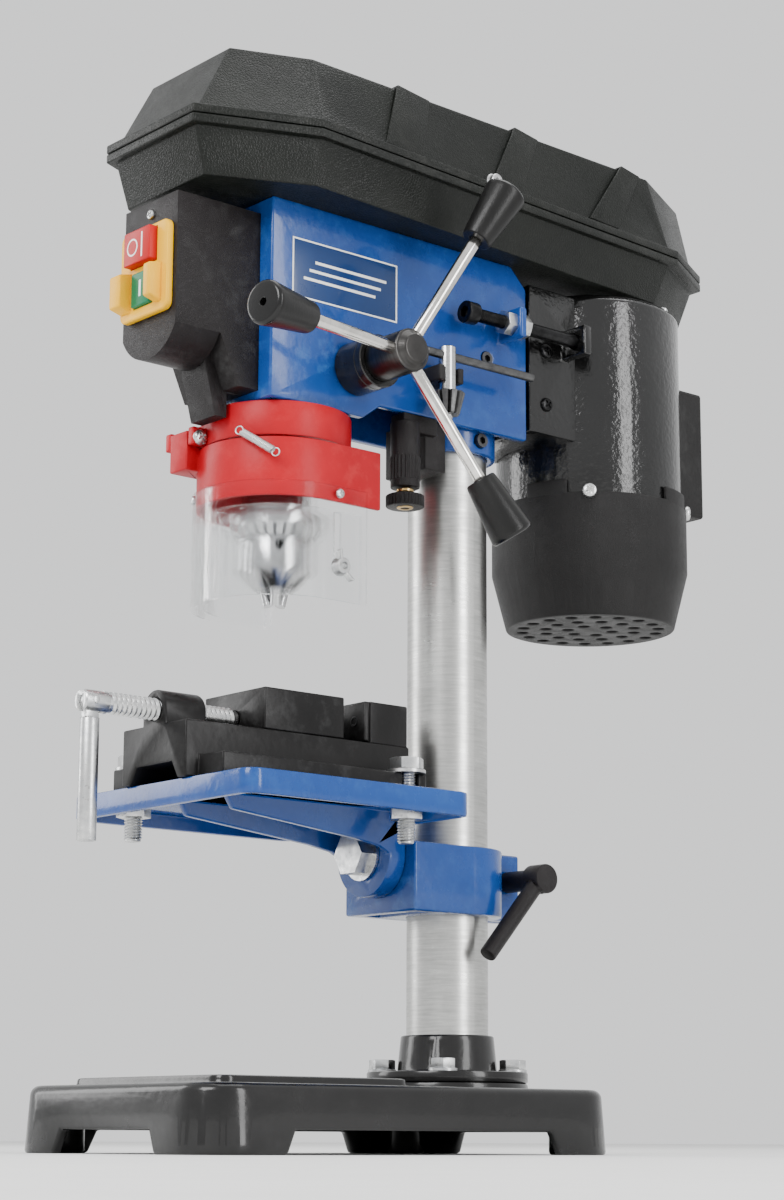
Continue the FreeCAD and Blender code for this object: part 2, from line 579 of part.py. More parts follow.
spring_cap_start = "-(headHalf + 3)"
node("spring_cap", turned("SpringCap", [("shaftRadius + 4", "0"), ("springCapRadius", "0"),
                                        ("springCapRadius", "springCapDepth"), ("0", "springCapDepth"),
                                        ("0", "springCapDepth - 2"), ("springCapRadius - 2", "springCapDepth - 2"),
                                        ("springCapRadius - 2", "2"), ("shaftRadius + 4", "2")],
                          (spring_cap_start, feed_y, "feedZ"), "-X"))


def spiral_spring_shape():
    """Flat spiral strip of half circles, from the shaft out to the cap's wall."""
    inner = size("shaftRadius") + 0.4
    outer = size("springCapRadius") - 4
    turns = 4
    pitch = (outer - inner) / turns
    thick = 0.8
    width = size("springCapDepth") - 7
    edges = []
    for side in (0, thick):
        points = []
        for k in range(turns * 24 + 1):
            angle = 2 * math.pi * k / 24
            radius = inner + side + pitch * k / 24
            points.append(vector(0, radius * math.cos(angle), radius * math.sin(angle)))
        curve = Part.BSplineCurve()
        curve.interpolate(points)
        edges.append((curve.toShape(), points[0], points[-1]))
    ends = [Part.LineSegment(edges[0][1], edges[1][1]).toShape(), Part.LineSegment(edges[0][2], edges[1][2]).toShape()]
    wire = Part.Wire(Part.__sortEdges__([edges[0][0], edges[1][0]] + ends))
    return Part.Face(wire).extrude(vector(-width, 0, 0))


spring = doc.addObject("Part::Feature", "ReturnSpring")
spring.Shape = spiral_spring_shape()
node("return_spring", put(spring, ("-(headHalf + 6)", feed_y, "feedZ")))

# ---------------------------------------------------------------- quill and spindle


def rack_tool_shape():
    """Everything outside the rack teeth on the quill's back, as one cutting solid."""
    module = size("gearModule")
    slope = math.tan(math.radians(20))
    pitch = math.pi * module
    side = -size("quillRadius") - 3
    height = size("quillTravel") + 24
    count = int(height / pitch)
    depth = module * 1.16
    tip = size("rackTip")
    outside = 4.0
    points = [vector(side, outside, -height / 2 - pitch), vector(side, tip, -height / 2 - pitch)]
    for k in range(-count // 2, count // 2 + 1):
        centre = k * pitch
        top = pitch / 4 + tip * slope
        bottom = pitch / 4 - depth * slope
        points += [vector(side, tip, centre - top), vector(side, -depth, centre - bottom),
                   vector(side, -depth, centre + bottom), vector(side, tip, centre + top)]
    points += [vector(side, tip, height / 2 + pitch), vector(side, outside, height / 2 + pitch)]
    points.append(points[0])
    return Part.Face(Part.makePolygon(points)).extrude(vector(-2 * side, 0, 0))


rack_tool = doc.addObject("Part::Feature", "RackTool")
rack_tool.Shape = rack_tool_shape()
put(rack_tool, ("0", "%s - %s" % (feed_y, pitch_radius), "feedZ + gearModule * 3.14159265 * 7.5"))
quill_blank = turned("QuillBlank", [
    ("bearingRadius", "quillFoot"), ("quillRadius", "quillFoot"), ("quillRadius", "quillTop"),
    ("bearingRadius", "quillTop"), ("bearingRadius", "quillTop - bearingHeight"),
    ("journalRadius", "quillTop - bearingHeight"), ("journalRadius", "quillFoot + bearingHeight"),
    ("bearingRadius", "quillFoot + bearingHeight")], ("0", spindle_y, "0"))
node("quill", cut("Quill", quill_blank, rack_tool))

bearing_profile = [("%s", "0"), ("bearingRadius", "0"), ("bearingRadius", "bearingHeight"), ("%s", "bearingHeight")]
spindle_bearings = []
for tag, foot in (("Low", "quillFoot"), ("High", "quillTop - bearingHeight")):
    corners = [(a.replace("%s", "spindleRadius + runningGap"), b) for a, b in bearing_profile]
    spindle_bearings.append(turned("SpindleBearing" + tag, corners, ("0", spindle_y, foot)))
node("quill_bearings", group("QuillBearings", *spindle_bearings))

node("spindle", turned("Spindle", [
    ("0", "spindleFoot"), ("taperRadius - 1", "spindleFoot"), ("taperRadius", "chuckTop"),
    ("taperRadius + 4", "chuckTop + 2"), ("taperRadius + 4", "chuckTop + 7"), ("spindleRadius", "quillFoot - 1"),
    ("spindleRadius", "spindleTop - 1"), ("spindleRadius - 1", "spindleTop"), ("0", "spindleTop")],
    ("0", spindle_y, "0")))

# ---------------------------------------------------------------- pulleys, belt and motor


def stepped_profile(big_first):
    """Corners of five V-grooves, from the bottom up, as (radius, height) expressions."""
    corners = []
    for step in range(5):
        radius = "bigStep - %d * stepChange" % step
        if not big_first:
            radius = "radiusSum - bigStep + %d * stepChange" % step
        foot = "pulleyFoot + %d * stepHeight" % step
        corners += [(radius, foot), (radius + " - grooveDepth", foot + " + 3.2"),
                    (radius + " - grooveDepth", foot + " + 6.8"), (radius, foot + " + 9.9")]
    return corners


node("spindle_pulley", turned("SpindlePulley",
                              [("spindleRadius + runningGap", "headTop - 14"), ("sleeveRadius", "headTop - 14"),
                               ("sleeveRadius", "pulleyFoot")] + stepped_profile(True)
                              + [("spindleRadius + runningGap", "pulleyFoot + 5 * stepHeight - 0.1")],
                              ("0", spindle_y, "0")))
node("pulley_bearing", turned("PulleyBearing",
                              [("sleeveRadius + runningGap", "headTop - 13"), ("topBearingRadius", "headTop - 13"),
                               ("topBearingRadius", "headTop - 1"), ("sleeveRadius + runningGap", "headTop - 1")],
                              ("0", spindle_y, "0")))
node("motor_pulley", turned("MotorPulley",
                            [("motorShaftRadius", "pulleyFoot - 6"), ("motorShaftRadius + 6", "pulleyFoot - 6"),
                             ("motorShaftRadius + 6", "pulleyFoot")] + stepped_profile(False)
                            + [("motorShaftRadius", "pulleyFoot + 5 * stepHeight - 0.1")],
                            ("0", "motorY", "0")))


def belt_loop(first_radius, last_radius, height):
    """The area that a taut band round two pulleys encloses, extruded."""
    first = vector(0, size("columnY") - size("throat"), 0)
    last = vector(0, size("motorY"), 0)
    lean = math.asin((first_radius - last_radius) / (last.y - first.y))
    across = vector(math.cos(lean), math.sin(lean), 0)
    mirrored = vector(-across.x, across.y, 0)
    corners = [first + across * first_radius, last + across * last_radius,
               last + mirrored * last_radius, first + mirrored * first_radius]
    wire = Part.Wire([
        Part.LineSegment(corners[0], corners[1]).toShape(),
        Part.Arc(corners[1], last + vector(0, last_radius, 0), corners[2]).toShape(),
        Part.LineSegment(corners[2], corners[3]).toShape(),
        Part.Arc(corners[3], first - vector(0, first_radius, 0), corners[0]).toShape()])
    return Part.Face(wire).extrude(vector(0, 0, height))


def belt_shape():
    spindle_step = size("bigStep") - 2 * size("stepChange")
    motor_step = size("radiusSum") - spindle_step
    inset = size("grooveDepth") - 0.2
    band = belt_loop(spindle_step + 0.3, motor_step + 0.3, 3.2)
    return band.cut(belt_loop(spindle_step - inset, motor_step - inset, 3.2))


belt = doc.addObject("Part::Feature", "DriveBelt")
belt.Shape = belt_shape()
node("drive_belt", put(belt, ("0", "0", "pulleyFoot + 2 * stepHeight + 3.4")))

node("motor_housing", turned("MotorHousing", [
    ("motorRadius - motorWall", "motorFoot"), ("motorRadius", "motorFoot"), ("motorRadius", "motorTop - 4"),
    ("motorRadius - 4", "motorTop"), ("motorShaftRadius + runningGap", "motorTop"),
    ("motorShaftRadius + runningGap", "motorTop - 16"), ("motorShaftRadius + 11", "motorTop - 16"),
    ("motorShaftRadius + 11", "motorTop - motorWall"),
    ("motorRadius - motorWall", "motorTop - motorWall")], ("0", "motorY", "0")))
node("motor_rotor", turned("MotorRotor", [
    ("0", "fanCoverBend - 14"), ("motorShaftRadius", "fanCoverBend - 14"), ("motorShaftRadius", "motorFoot + 22"),
    ("motorRadius / 2", "motorFoot + 22"), ("motorRadius / 2", "motorTop - 36"),
    ("motorShaftRadius", "motorTop - 36"), ("motorShaftRadius", "shaftTop"), ("0", "shaftTop")],
    ("0", "motorY", "0")))
fan_hub = tube("FanHub", "motorShaftRadius + 6", "motorShaftRadius", "18", ("0", "motorY", "fanCoverBend - 13"))
fan_disc = tube("FanDisc", "fanCoverRadius - 14", "motorShaftRadius", "2", ("0", "motorY", "fanCoverBend + 3"))
fan_blades = []
for k in range(8):
    blade = block("FanBlade%d" % k, ("0", "fanCoverRadius - 14 - motorShaftRadius - 4"), ("0", "1.6"), ("0", "14"))
    turn = FreeCAD.Rotation(vector(0, 0, 1), 45 * k)
    reach = turn.multVec(vector(1, 0, 0))
    fan_blades.append(put(blade, ("%.6f * (motorShaftRadius + 4)" % reach.x,
                                  "motorY + %.6f * (motorShaftRadius + 4)" % reach.y, "fanCoverBend - 10"), turn))
node("motor_fan", fuse("MotorFan", fan_hub, fan_disc, *fan_blades))

fan_shell = turned("FanShell", [
    ("motorRadius", "fanCoverTop"), ("fanCoverRadius", "fanCoverTop"), ("fanCoverRadius", "fanCoverBend"),
    ("fanFootRadius", "fanCoverFoot"), ("0", "fanCoverFoot"), ("0", "fanCoverFoot + 2.5"),
    ("fanFootRadius - 2.5", "fanCoverFoot + 2.5"), ("motorRadius", "fanCoverBend")], ("0", "motorY", "0"))
grille_holes = []
for ring in range(1, 4):
    for k in range(6 * ring):
        angle = 2 * math.pi * k / (6 * ring)
        grille_holes.append(rod("GrilleHole%d_%d" % (ring, k), "3.4", "8",
                                ("%.6f * fanFootRadius" % (0.27 * ring * math.cos(angle)),
                                 "motorY + %.6f * fanFootRadius" % (0.27 * ring * math.sin(angle)),
                                 "fanCoverFoot - 3")))
node("fan_cover", cut("FanCover", fan_shell, *grille_holes))

capacitor_rear = "motorY + motorRadius + 18"
capacitor_block = block("CapacitorBlock", middle("27"), ("motorY + motorRadius - 20", capacitor_rear),
                        ("motorFoot + 8", "motorTop - 39"))
node("capacitor_box", cut("CapacitorBox", capacitor_block,
                          rod("CapacitorSeat", "motorRadius", "200", ("0", "motorY", "motorFoot - 20"))))

bracket_outer = block("BracketOuter", middle("headHalf"), ("headRear + 2.5", "bracketEnd"),
                      ("bracketFoot", "bracketTop"))
bracket_inner = block("BracketInner", middle("headHalf - headWall"), ("headRear - 20", "bracketEnd - 18"),
                      ("bracketFoot + 5", "bracketTop + 5"))
cheeks = [block("CheekLeft", ("-headHalf + headWall + bracketGap", "-headHalf + headWall + bracketGap + 3.6"),
                ("bracketStart", "headRear + 10"), ("bracketFoot + 5", "bracketTop - 6")),
          block("CheekRight", ("headHalf - headWall - bracketGap - 3.6", "headHalf - headWall - bracketGap"),
                ("bracketStart", "headRear + 10"), ("bracketFoot + 5", "bracketTop - 6"))]
bracket_ear = block("BracketEar", ("headHalf - 2", "tensionX + lugHalf"), ("bracketEnd - 15", "bracketEnd - 9"),
                    ("tensionZ - lugHalf", "tensionZ + lugHalf"))
motor_seat = rod("MotorSeat", "motorRadius", "300", ("0", "motorY", "motorFoot - 100"))
ear_hole = rod("EarHole", "4 + runningGap", "20", ("tensionX", "bracketEnd - 20", "tensionZ"), "Y")
node("motor_bracket", cut("MotorBracket",
                          fuse("BracketBlank", cut("BracketShell", bracket_outer, bracket_inner), bracket_ear, *cheeks),
                          motor_seat, ear_hole))

tension_start = "lugY - 36"
node("tension_bolt", cut("TensionBolt",
                         fuse("TensionBlank",
                              rod("TensionHead", "6.5", "8", ("tensionX", tension_start, "tensionZ"), "Y"),
                              rod("TensionShank", "4 - runningGap", "bracketEnd - 9 - (%s)" % tension_start,
                                  ("tensionX", tension_start, "tensionZ"), "Y")),
                         hexagon("TensionSocket", "3.5", "5", ("tensionX", tension_start + " - 1", "tensionZ"), "Y")))
lock_nuts = []
for tag, start in (("Front", "lugY - 6.5"), ("Rear", "lugY + lugThick")):
    lock_nuts.append(cut("LockNut" + tag,
                         hexagon("LockNutBody" + tag, "7.5", "6.5", ("tensionX", start, "tensionZ"), "Y"),
                         rod("LockNutBore" + tag, "4", "6.5", ("tensionX", start, "tensionZ"), "Y")))
node("tension_nuts", group("TensionNuts", *lock_nuts))

# ---------------------------------------------------------------- belt cover
# Plan outlines as (half width, y) pairs from the front to the rear.

floor_plan = [("36", "-115"), ("62", "-60"), ("43", "222"), ("18", "270")]
rim_plan = [("38", "-124"), ("66", "-57"), ("46", "235"), ("22", "281")]
top_plan = [("36.5", "-100"), ("54", "-56"), ("48", "212"), ("20", "268")]


def plan_sketch(name, plan, level, grow="0"):
    """A closed outline mirrored about the YZ plane, moved outwards by an expression."""
    right = []
    for k, (half, along) in enumerate(plan):
        shift = ("-" if k < 2 else "+") + "(%s)" % grow
        right.append(("%s + (%s)" % (half, grow), "%s %s" % (along, shift)))
    left = [("-(%s)" % across, along) for across, along in reversed(right)]
    return flat_sketch(name, right + left, ("0", "0", level))


def lofted(name, *sections):
    item = doc.addObject("Part::Loft", name)
    item.Sections = list(sections)
    item.Solid = True
    item.Ruled = True
    return item


def lip(name, low, high):
    item = doc.addObject("Part::Extrusion", name)
    item.Base = plan_sketch(name + "Plan", rim_plan, low, "rimLip")
    item.DirMode = "Custom"
    item.Dir = vector(0, 0, 1)
    item.Solid = True
    bind(item, "LengthFwd", "(%s) - (%s)" % (high, low))
    return item


def hinge_eye(name, low_y, high_y, reach, level, thick):
    """One hinge eye about the lid's axis with an arm that reaches in to the cover wall."""
    return fuse(name, rod(name + "Eye", "hingeRadius", "(%s) - (%s)" % (high_y, low_y), ("hingeX", low_y, "rimZ"), "Y"),
                block(name + "Arm", ("hingeX", reach), (low_y, high_y), (level, "%s + %s" % (level, thick))))


lid_foot = "rimZ + lidGap"
hinge_places = (("Front", "-40", "-66 + coverWall"), ("Rear", "160", "-51 + coverWall / 2"))
pan_eyes = []
pan_holes = []
lid_eyes = []
for tag, start, reach in hinge_places:
    pan_eyes.append(hinge_eye("PanEyeA" + tag, start, start + " + 5", reach, "rimZ - 5", "4.5"))
    pan_eyes.append(hinge_eye("PanEyeB" + tag, start + " + 25", start + " + 30", reach, "rimZ - 5", "4.5"))
    pan_holes.append(rod("PegHole" + tag, "hingePegRadius + 0.1", "60", ("hingeX", start + " - 10", "rimZ"), "Y"))
    lid_eyes.append(hinge_eye("LidEye" + tag, start + " + 5.4", start + " + 24.6", reach, lid_foot, "4"))
    lid_eyes.append(rod("LidPeg" + tag, "hingePegRadius", "30", ("hingeX", start, "rimZ"), "Y"))

pan_outer = lofted("PanOuter", plan_sketch("PanFloor", floor_plan, "coverFloor"),
                   plan_sketch("PanRim", rim_plan, "rimZ"))
pan_inner = lofted("PanInner", plan_sketch("PanFloorInner", floor_plan, "coverFloor + coverWall", "-coverWall"),
                   plan_sketch("PanRimInner", rim_plan, "rimZ + 0.01", "-coverWall"))
spindle_hole = rod("PanSpindleHole", "topBearingRadius + 3", "20", ("0", spindle_y, "coverFloor - 5"))
motor_slot = block("PanMotorSlot", middle("motorShaftRadius + 7"), ("motorY - 24", "motorY + 22"),
                   ("coverFloor - 5", "coverFloor + 10"))
node("cover_pan", cut("CoverPan", fuse("PanBlank", pan_outer, lip("PanLip", "rimZ - lipThick", "rimZ"), *pan_eyes),
                      pan_inner, spindle_hole, motor_slot, *pan_holes))

lid_outer = lofted("LidOuter", plan_sketch("LidRim", rim_plan, lid_foot), plan_sketch("LidTop", top_plan, "lidTop"))
lid_inner = lofted("LidInner", plan_sketch("LidRimInner", rim_plan, lid_foot + " - 0.01", "-coverWall"),
                   plan_sketch("LidTopInner", top_plan, "lidTop - coverWall", "-coverWall"))
node("cover_lid", cut("CoverLid", fuse("LidBlank", lid_outer, lip("LidLip", lid_foot, lid_foot + " + lipThick"), *lid_eyes),
                      lid_inner))
node("lid_screw", fuse("LidScrew",
                       rod("LidScrewHead", "4", "4", ("60.5", "72", lid_foot + " + 4.5"), "X"),
                       rod("LidScrewWasher", "4.8", "1.2", ("59.8", "72", lid_foot + " + 4.5"), "X"),
                       rod("LidScrewShank", "2", "8", ("53", "72", lid_foot + " + 4.5"), "X")))

# ---------------------------------------------------------------- chuck

jaw_lean = math.radians(size("jawLean"))
jaws = []
jaw_bores = []
for k in range(3):
    angle = math.radians(90 + 120 * k)
    outward = vector(math.sin(jaw_lean) * math.cos(angle), math.sin(jaw_lean) * math.sin(angle), math.cos(jaw_lean))
    turn = FreeCAD.Rotation(vector(0, 0, 1), outward)
    spot = ("jawOffset * %.6f" % math.cos(angle), "%s + jawOffset * %.6f" % (spindle_y, math.sin(angle)))
    jaws.append(rod("ChuckJaw%d" % k, "jawRadius", "jawLength", spot + ("jawTip",), turn))
    jaw_bores.append(rod("JawBore%d" % k, "jawRadius + 0.15", "jawLength + jawTravel + 0.5", spot + ("jawTip",), turn))
chuck_blank = turned("ChuckBlank", [
    ("0", "chuckFoot"), ("chuckRadius - 8", "chuckFoot"), ("chuckRadius", "chuckFoot + 9"),
    ("chuckRadius", "sleeveFoot - 0.3"), ("neckRadius", "sleeveFoot - 0.3"), ("neckRadius", "sleeveTop + 0.3"),
    ("chuckRadius", "sleeveTop + 0.3"), ("chuckRadius", "chuckTop - 2"), ("chuckRadius - 3", "chuckTop"),
    ("taperRadius", "chuckTop"), ("taperRadius - 1", "spindleFoot"), ("0", "spindleFoot")], ("0", spindle_y, "0"))
key_holes = []
for k in range(3):
    turn = FreeCAD.Rotation(vector(0, 0, 1), 120 * k - 150).multiply(headings["X"])
    key_holes.append(rod("KeyHole%d" % k, "3", "7", ("%.6f * (chuckRadius - 5)" % math.cos(math.radians(120 * k - 150)),
                                                     "%s + %.6f * (chuckRadius - 5)"
                                                     % (spindle_y, math.sin(math.radians(120 * k - 150))),
                                                     "sleeveFoot - 5"), turn))
node("chuck_body", cut("ChuckBody", chuck_blank, *jaw_bores, *key_holes))
for k, letter in enumerate("abc"):
    node("chuck_jaw_" + letter, jaws[k])

sleeve_blank = turned("SleeveBlank", [
    ("neckRadius + runningGap", "sleeveFoot"), ("chuckRadius + 1", "sleeveFoot"), ("sleeveOuter", "sleeveFoot + 5"),
    ("sleeveOuter", "sleeveTop - 3"), ("sleeveOuter - 3", "sleeveTop"), ("neckRadius + runningGap", "sleeveTop")],
    ("0", spindle_y, "0"))
tooth_gaps = []
for k in range(24):
    turn = FreeCAD.Rotation(vector(0, 0, 1), 15 * k)
    reach = turn.multVec(vector(1, 0, 0))
    side = turn.multVec(vector(0, -1.2, 0))
    tooth_gaps.append(put(block("ToothGap%d" % k, ("0", "10"), ("0", "2.4"), ("0", "7")),
                          ("%.6f * (sleeveOuter - 4) + %.6f" % (reach.x, side.x),
                           "%s + %.6f * (sleeveOuter - 4) + %.6f" % (spindle_y, reach.y, side.y),
                           "sleeveFoot - 2"), turn))
node("chuck_sleeve", cut("ChuckSleeve", sleeve_blank, *tooth_gaps))

# ---------------------------------------------------------------- chuck guard

clamp_ring = turned("ClampRing", [
    ("quillRadius", "clampFoot"), ("quillRadius + 4", "clampFoot"), ("quillRadius + 4", "clampTop - 5"),
    ("clampRadius - 3", "clampTop - 5"), ("clampRadius - 3", "clampFoot"), ("clampRadius", "clampFoot"),
    ("clampRadius", "clampTop"), ("quillRadius", "clampTop")], ("0", spindle_y, "0"))
ear_y = ("guardHingeY - 4.5", "guardHingeY + 12")
clamp_ears = [block("ClampEarLeft", ("-38", "-33"), ear_y, ("guardHingeZ - 4", "guardHingeZ + 6")),
              block("ClampEarRight", ("-17", "-12"), ear_y, ("guardHingeZ - 4", "guardHingeZ + 6"))]
ear_web = block("ClampEarWeb", ("-38", "-12"), ("guardHingeY + 7", "guardHingeY + 20"),
                ("guardHingeZ - 3", "guardHingeZ + 10"))
clamp_clear = rod("ClampClear", "clampRadius - 3", "clampTop - 5 - clampFoot", ("0", spindle_y, "clampFoot"))
pin_hole = rod("GuardPinHole", "2.5", "60", ("-50", "guardHingeY", "guardHingeZ"), "X")
clamp_outside = cut("ClampEars", fuse("ClampEarBlank", ear_web, *clamp_ears), clamp_clear, pin_hole)
node("guard_clamp", fuse("GuardClamp", clamp_ring, clamp_outside))
node("guard_pin", fuse("GuardPin", rod("GuardPinBody", "2.5", "30", ("-40", "guardHingeY", "guardHingeZ"), "X"),
                       rod("GuardPinHead", "4.3", "2.5", ("-12", "guardHingeY", "guardHingeZ"), "X")))


def horseshoe(name, radius, wall, low, high, end):
    """A wall that is round in front and straight along both sides, open at the rear."""
    outer = fuse(name + "Outer", rod(name + "Round", radius, "(%s) - (%s)" % (high, low), ("0", spindle_y, low)),
                 block(name + "Sides", middle(radius), (spindle_y, end), (low, high)))
    inner = fuse(name + "Inner", rod(name + "RoundIn", "%s - %s" % (radius, wall), "(%s) - (%s) + 2" % (high, low),
                                     ("0", spindle_y, "(%s) - 1" % low)),
                 block(name + "SidesIn", middle("%s - %s" % (radius, wall)), (spindle_y, "(%s) + 60" % end),
                       ("(%s) - 1" % low, "(%s) + 1" % high)))
    return cut(name, outer, inner)


holder_wall = horseshoe("HolderWall", "holderRadius", "holderWall", "holderFoot", "holderTop", "holderEnd")
holder_ear = block("HolderEar", ("-32.5", "-17.5"), ("guardHingeY - 5", "guardHingeY + 5"),
                   ("holderTop - 12", "guardHingeZ + 4.5"))
holder_ear_link = block("HolderEarLink", ("-32.5", "-17.5"), ("guardHingeY - 5", "guardHingeY + 14"),
                        ("holderTop - 12", "holderTop"))
holder_hole = rod("HolderHole", "2.5 + runningGap", "40", ("-45", "guardHingeY", "guardHingeZ"), "X")
holder_clear = rod("HolderClear", "holderRadius - holderWall", "80", ("0", spindle_y, "holderFoot - 5"))
node("guard_holder", cut("GuardHolder", fuse("HolderBlank", holder_wall, holder_ear, holder_ear_link), holder_hole,
                         holder_clear))
shield_wall = horseshoe("ShieldWall", "shieldRadius", "shieldWall", "shieldFoot", "shieldTop", "shieldEnd")
stud_slot = block("StudSlot", ("sliderRadius", "shieldRadius + 5"), ("studY - 2.3", "studY + 2.3"),
                  ("studZ - 2.3", "studZ + sliderTravel + 2.3"))
shield_ear_room = block("ShieldEarRoom", ("-34", "-16"), ("guardHingeY - 20", "guardHingeY + 20"),
                        ("holderTop - 13", "guardHingeZ"))
node("guard_shield", cut("GuardShield", shield_wall, stud_slot, shield_ear_room))
slider_wall = horseshoe("SliderWall", "sliderRadius", "shieldWall", "sliderFoot", "sliderTop", "shieldEnd")
node("guard_slider", fuse("GuardSlider", slider_wall,
                          rod("SliderStud", "2", "shieldRadius + 6 - sliderRadius + 1",
                              ("sliderRadius - 1", "studY", "studZ"), "X")))
nut_start = "shieldRadius + 0.4"
node("wing_nut", cut("WingNut",
                     fuse("WingBlank", rod("WingHub", "4.5", "5", (nut_start, "studY", "studZ"), "X"),
                          block("WingBlades", (nut_start + " + 1", nut_start + " + 8"), ("studY - 10", "studY + 10"),
                                ("studZ - 1.1", "studZ + 1.1"))),
                     rod("WingBore", "2 + runningGap", "20", (nut_start + " - 1", "studY", "studZ"), "X")))
spring_low = ("42", "guardHingeY + 13.2", "holderTop - 12.5")
spring_turn = FreeCAD.Rotation(vector(0, 0, 1), vector(-23, -12, 17))
node("guard_spring", put(doc.addObject("Part::Cylinder", "GuardSpring"), spring_low, spring_turn))
bind(doc.GuardSpring, "Radius", "2.4")
bind(doc.GuardSpring, "Height", "30")

# ---------------------------------------------------------------- cross-line laser and chuck key

laser_body = rod("LaserBarrel", "laserRadius", "headFloor - 5 - laserFoot", ("laserX", "laserY", "laserFoot"))
laser_arm = block("LaserArm", ("laserX - 7", "laserX + 5"), ("laserY - 5", "laserY + 20"), ("headFloor - 10", "headFloor"))
battery_box = block("BatteryBox", ("-4", "laserX + 1"), ("laserY + 14", "columnY - bossRadius - 0.5"),
                    ("headFloor - 29", "headFloor"))
node("laser_unit", fuse("LaserUnit", laser_body, laser_arm, battery_box))
node("laser_knob", fuse("LaserKnob",
                        rod("LaserDisc", "laserKnobRadius", "laserKnobHeight", ("laserX", "laserY", "laserKnobFoot")),
                        rod("LaserNeck", "4", "laserFoot - laserKnobFoot - sideGap",
                            ("laserX", "laserY", "laserKnobFoot"))))

key_shaft = rod("KeyShaft", "keyShaftRadius", "keyBarZ - keyFoot - 14", ("keyX", "keyY", "keyFoot + 19"))
key_gear = cone("KeyGear", "keyShaftRadius + 2", "keyShaftRadius + 5", "13", ("keyX", "keyY", "keyFoot + 6"))
key_pilot = rod("KeyPilot", "3", "10", ("keyX", "keyY", "keyFoot"))
key_bar = rod("KeyBar", "keyBarRadius", "keyBarLength", ("keyX", "keyY - 16", "keyBarZ"), "Y")
node("chuck_key", fuse("ChuckKey", key_shaft, key_gear, key_pilot, key_bar))
clip_block = block("ClipBlock", ("headHalf", "keyX + 4"), ("keyY - 9", "keyY + 9"), ("keyBarZ - 16", "keyBarZ - 7"))
clip_room = fuse("ClipRoom", rod("ClipRound", "keyShaftRadius + 0.2", "20", ("keyX", "keyY", "keyBarZ - 20")),
                 block("ClipMouth", ("keyX", "keyX + 20"), ("keyY - keyShaftRadius - 0.2", "keyY + keyShaftRadius + 0.2"),
                       ("keyBarZ - 20", "keyBarZ")))
node("key_clip", cut("KeyClip", clip_block, clip_room))

# ---------------------------------------------------------------- table and bracket

table_mid = "(tableFront + tableRear) / 2"
table_outer = tray_block("TableOuter", "tableHalf", "tableFront", "tableRear", "tableTop - skirtHeight", "tableTop",
                         "tableCorner")
table_inner = tray_block("TableInner", "tableHalf - skirtWall", "tableFront + skirtWall", "tableRear - skirtWall",
                         "tableTop - skirtHeight - 1", "tableTop - tableThick", "tableCorner - skirtWall")
rib_outline = [("tableFront + 27", "tableTop - 2"), ("tableFront + 34", "tableTop - 13"), ("5", "tableTop - 22"),
               ("tiltBossFront - 6", "tiltZ + 3"), ("tiltBossFront", "tiltZ"), ("tiltFace - tiltGap", "tiltZ"), ("tiltFace - tiltGap", "tableTop - 2")]
rib_beam = cut("RibBeam", extruded("RibBlock", rib_outline, "-tiltBossRadius", "tiltBossRadius", "X"),
               block("RibRoom", middle("tiltBossRadius - 5"), ("tableFront", "tiltBossFront"),
                     ("tableTop - 60", "tableTop - tableThick")))
tilt_boss = rod("TiltBoss", "tiltBossRadius", "tiltFace - tiltGap - tiltBossFront", ("0", "tiltBossFront", "tiltZ"), "Y")
slot_tools = []
for k, (sign_x, sign_y) in enumerate(((-1, -1), (-1, 1), (1, -1), (1, 1))):
    lean = math.atan2(sign_y * size("boltY"), sign_x * size("boltX"))
    turn = FreeCAD.Rotation(vector(0, 0, 1), math.degrees(lean))
    across = turn.multVec(vector(0, 1, 0))
    foot = "tableTop - tableThick - 1"
    start = ("%d * boltX * 0.62" % sign_x, "%s + %d * boltY * 0.62" % (table_mid, sign_y))
    stop = ("%d * boltX * 1.12" % sign_x, "%s + %d * boltY * 1.12" % (table_mid, sign_y))
    for tag, spot in (("In", start), ("Out", stop)):
        slot_tools.append(rod("Slot%s%d" % (tag, k), "slotHalf", "tableThick + 3", spot + (foot,)))
    channel = block("SlotChannel%d" % k, ("0", "sqrt(boltX^2 + boltY^2) / 2"), ("0", "2 * slotHalf"),
                    ("0", "tableThick + 3"))
    slot_tools.append(put(channel, (start[0] + " - %.6f * slotHalf" % across.x,
                                    start[1] + " - %.6f * slotHalf" % across.y, foot), turn))
tilt_bore = rod("TiltBore", "tiltBoltRadius + runningGap", "60", ("0", "tiltBossFront - 20", "tiltZ"), "Y")
node("table", cut("Table", fuse("TableBlank", cut("TableTray", table_outer, table_inner), rib_beam, tilt_boss),
                  tilt_bore, *slot_tools))

bracket_barrel = rod("BracketBarrel", "bracketRadius", "bracketHigh - bracketLow", ("0", "columnY", "bracketLow"))
bracket_arm = block("BracketArm", middle("bracketHalf"), ("tiltFace", "columnY"), ("bracketLow", "bracketHigh"))
bracket_boss = rod("BracketBoss", "tiltBossRadius", "8", ("0", "tiltFace", "tiltZ"), "Y")
bracket_ears = block("BracketEars", middle("earHalf"), ("columnY", "earRear"), ("bracketLow", "bracketHigh"))
bracket_bore = rod("BracketBore", "columnRadius + runningGap", "100", ("0", "columnY", "bracketLow - 30"))
bracket_slit = block("BracketSlit", middle("slitHalf"), ("columnY", "earRear + 1"), ("bracketLow - 1", "bracketHigh + 1"))
bracket_tilt_hole = rod("BracketTiltHole", "tiltBoltRadius", "20", ("0", "tiltFace - 1", "tiltZ"), "Y")
ear_bolt_hole = rod("EarBoltHole", "clampBoltRadius + runningGap", "60", ("-30", "clampBoltY", "clampBoltZ"), "X")
bracket_room = block("BracketRoom", middle("bracketHalf - 7"), ("tiltFace + 8", "columnY - bracketRadius"),
                     ("bracketLow - 1", "bracketHigh - 7"))
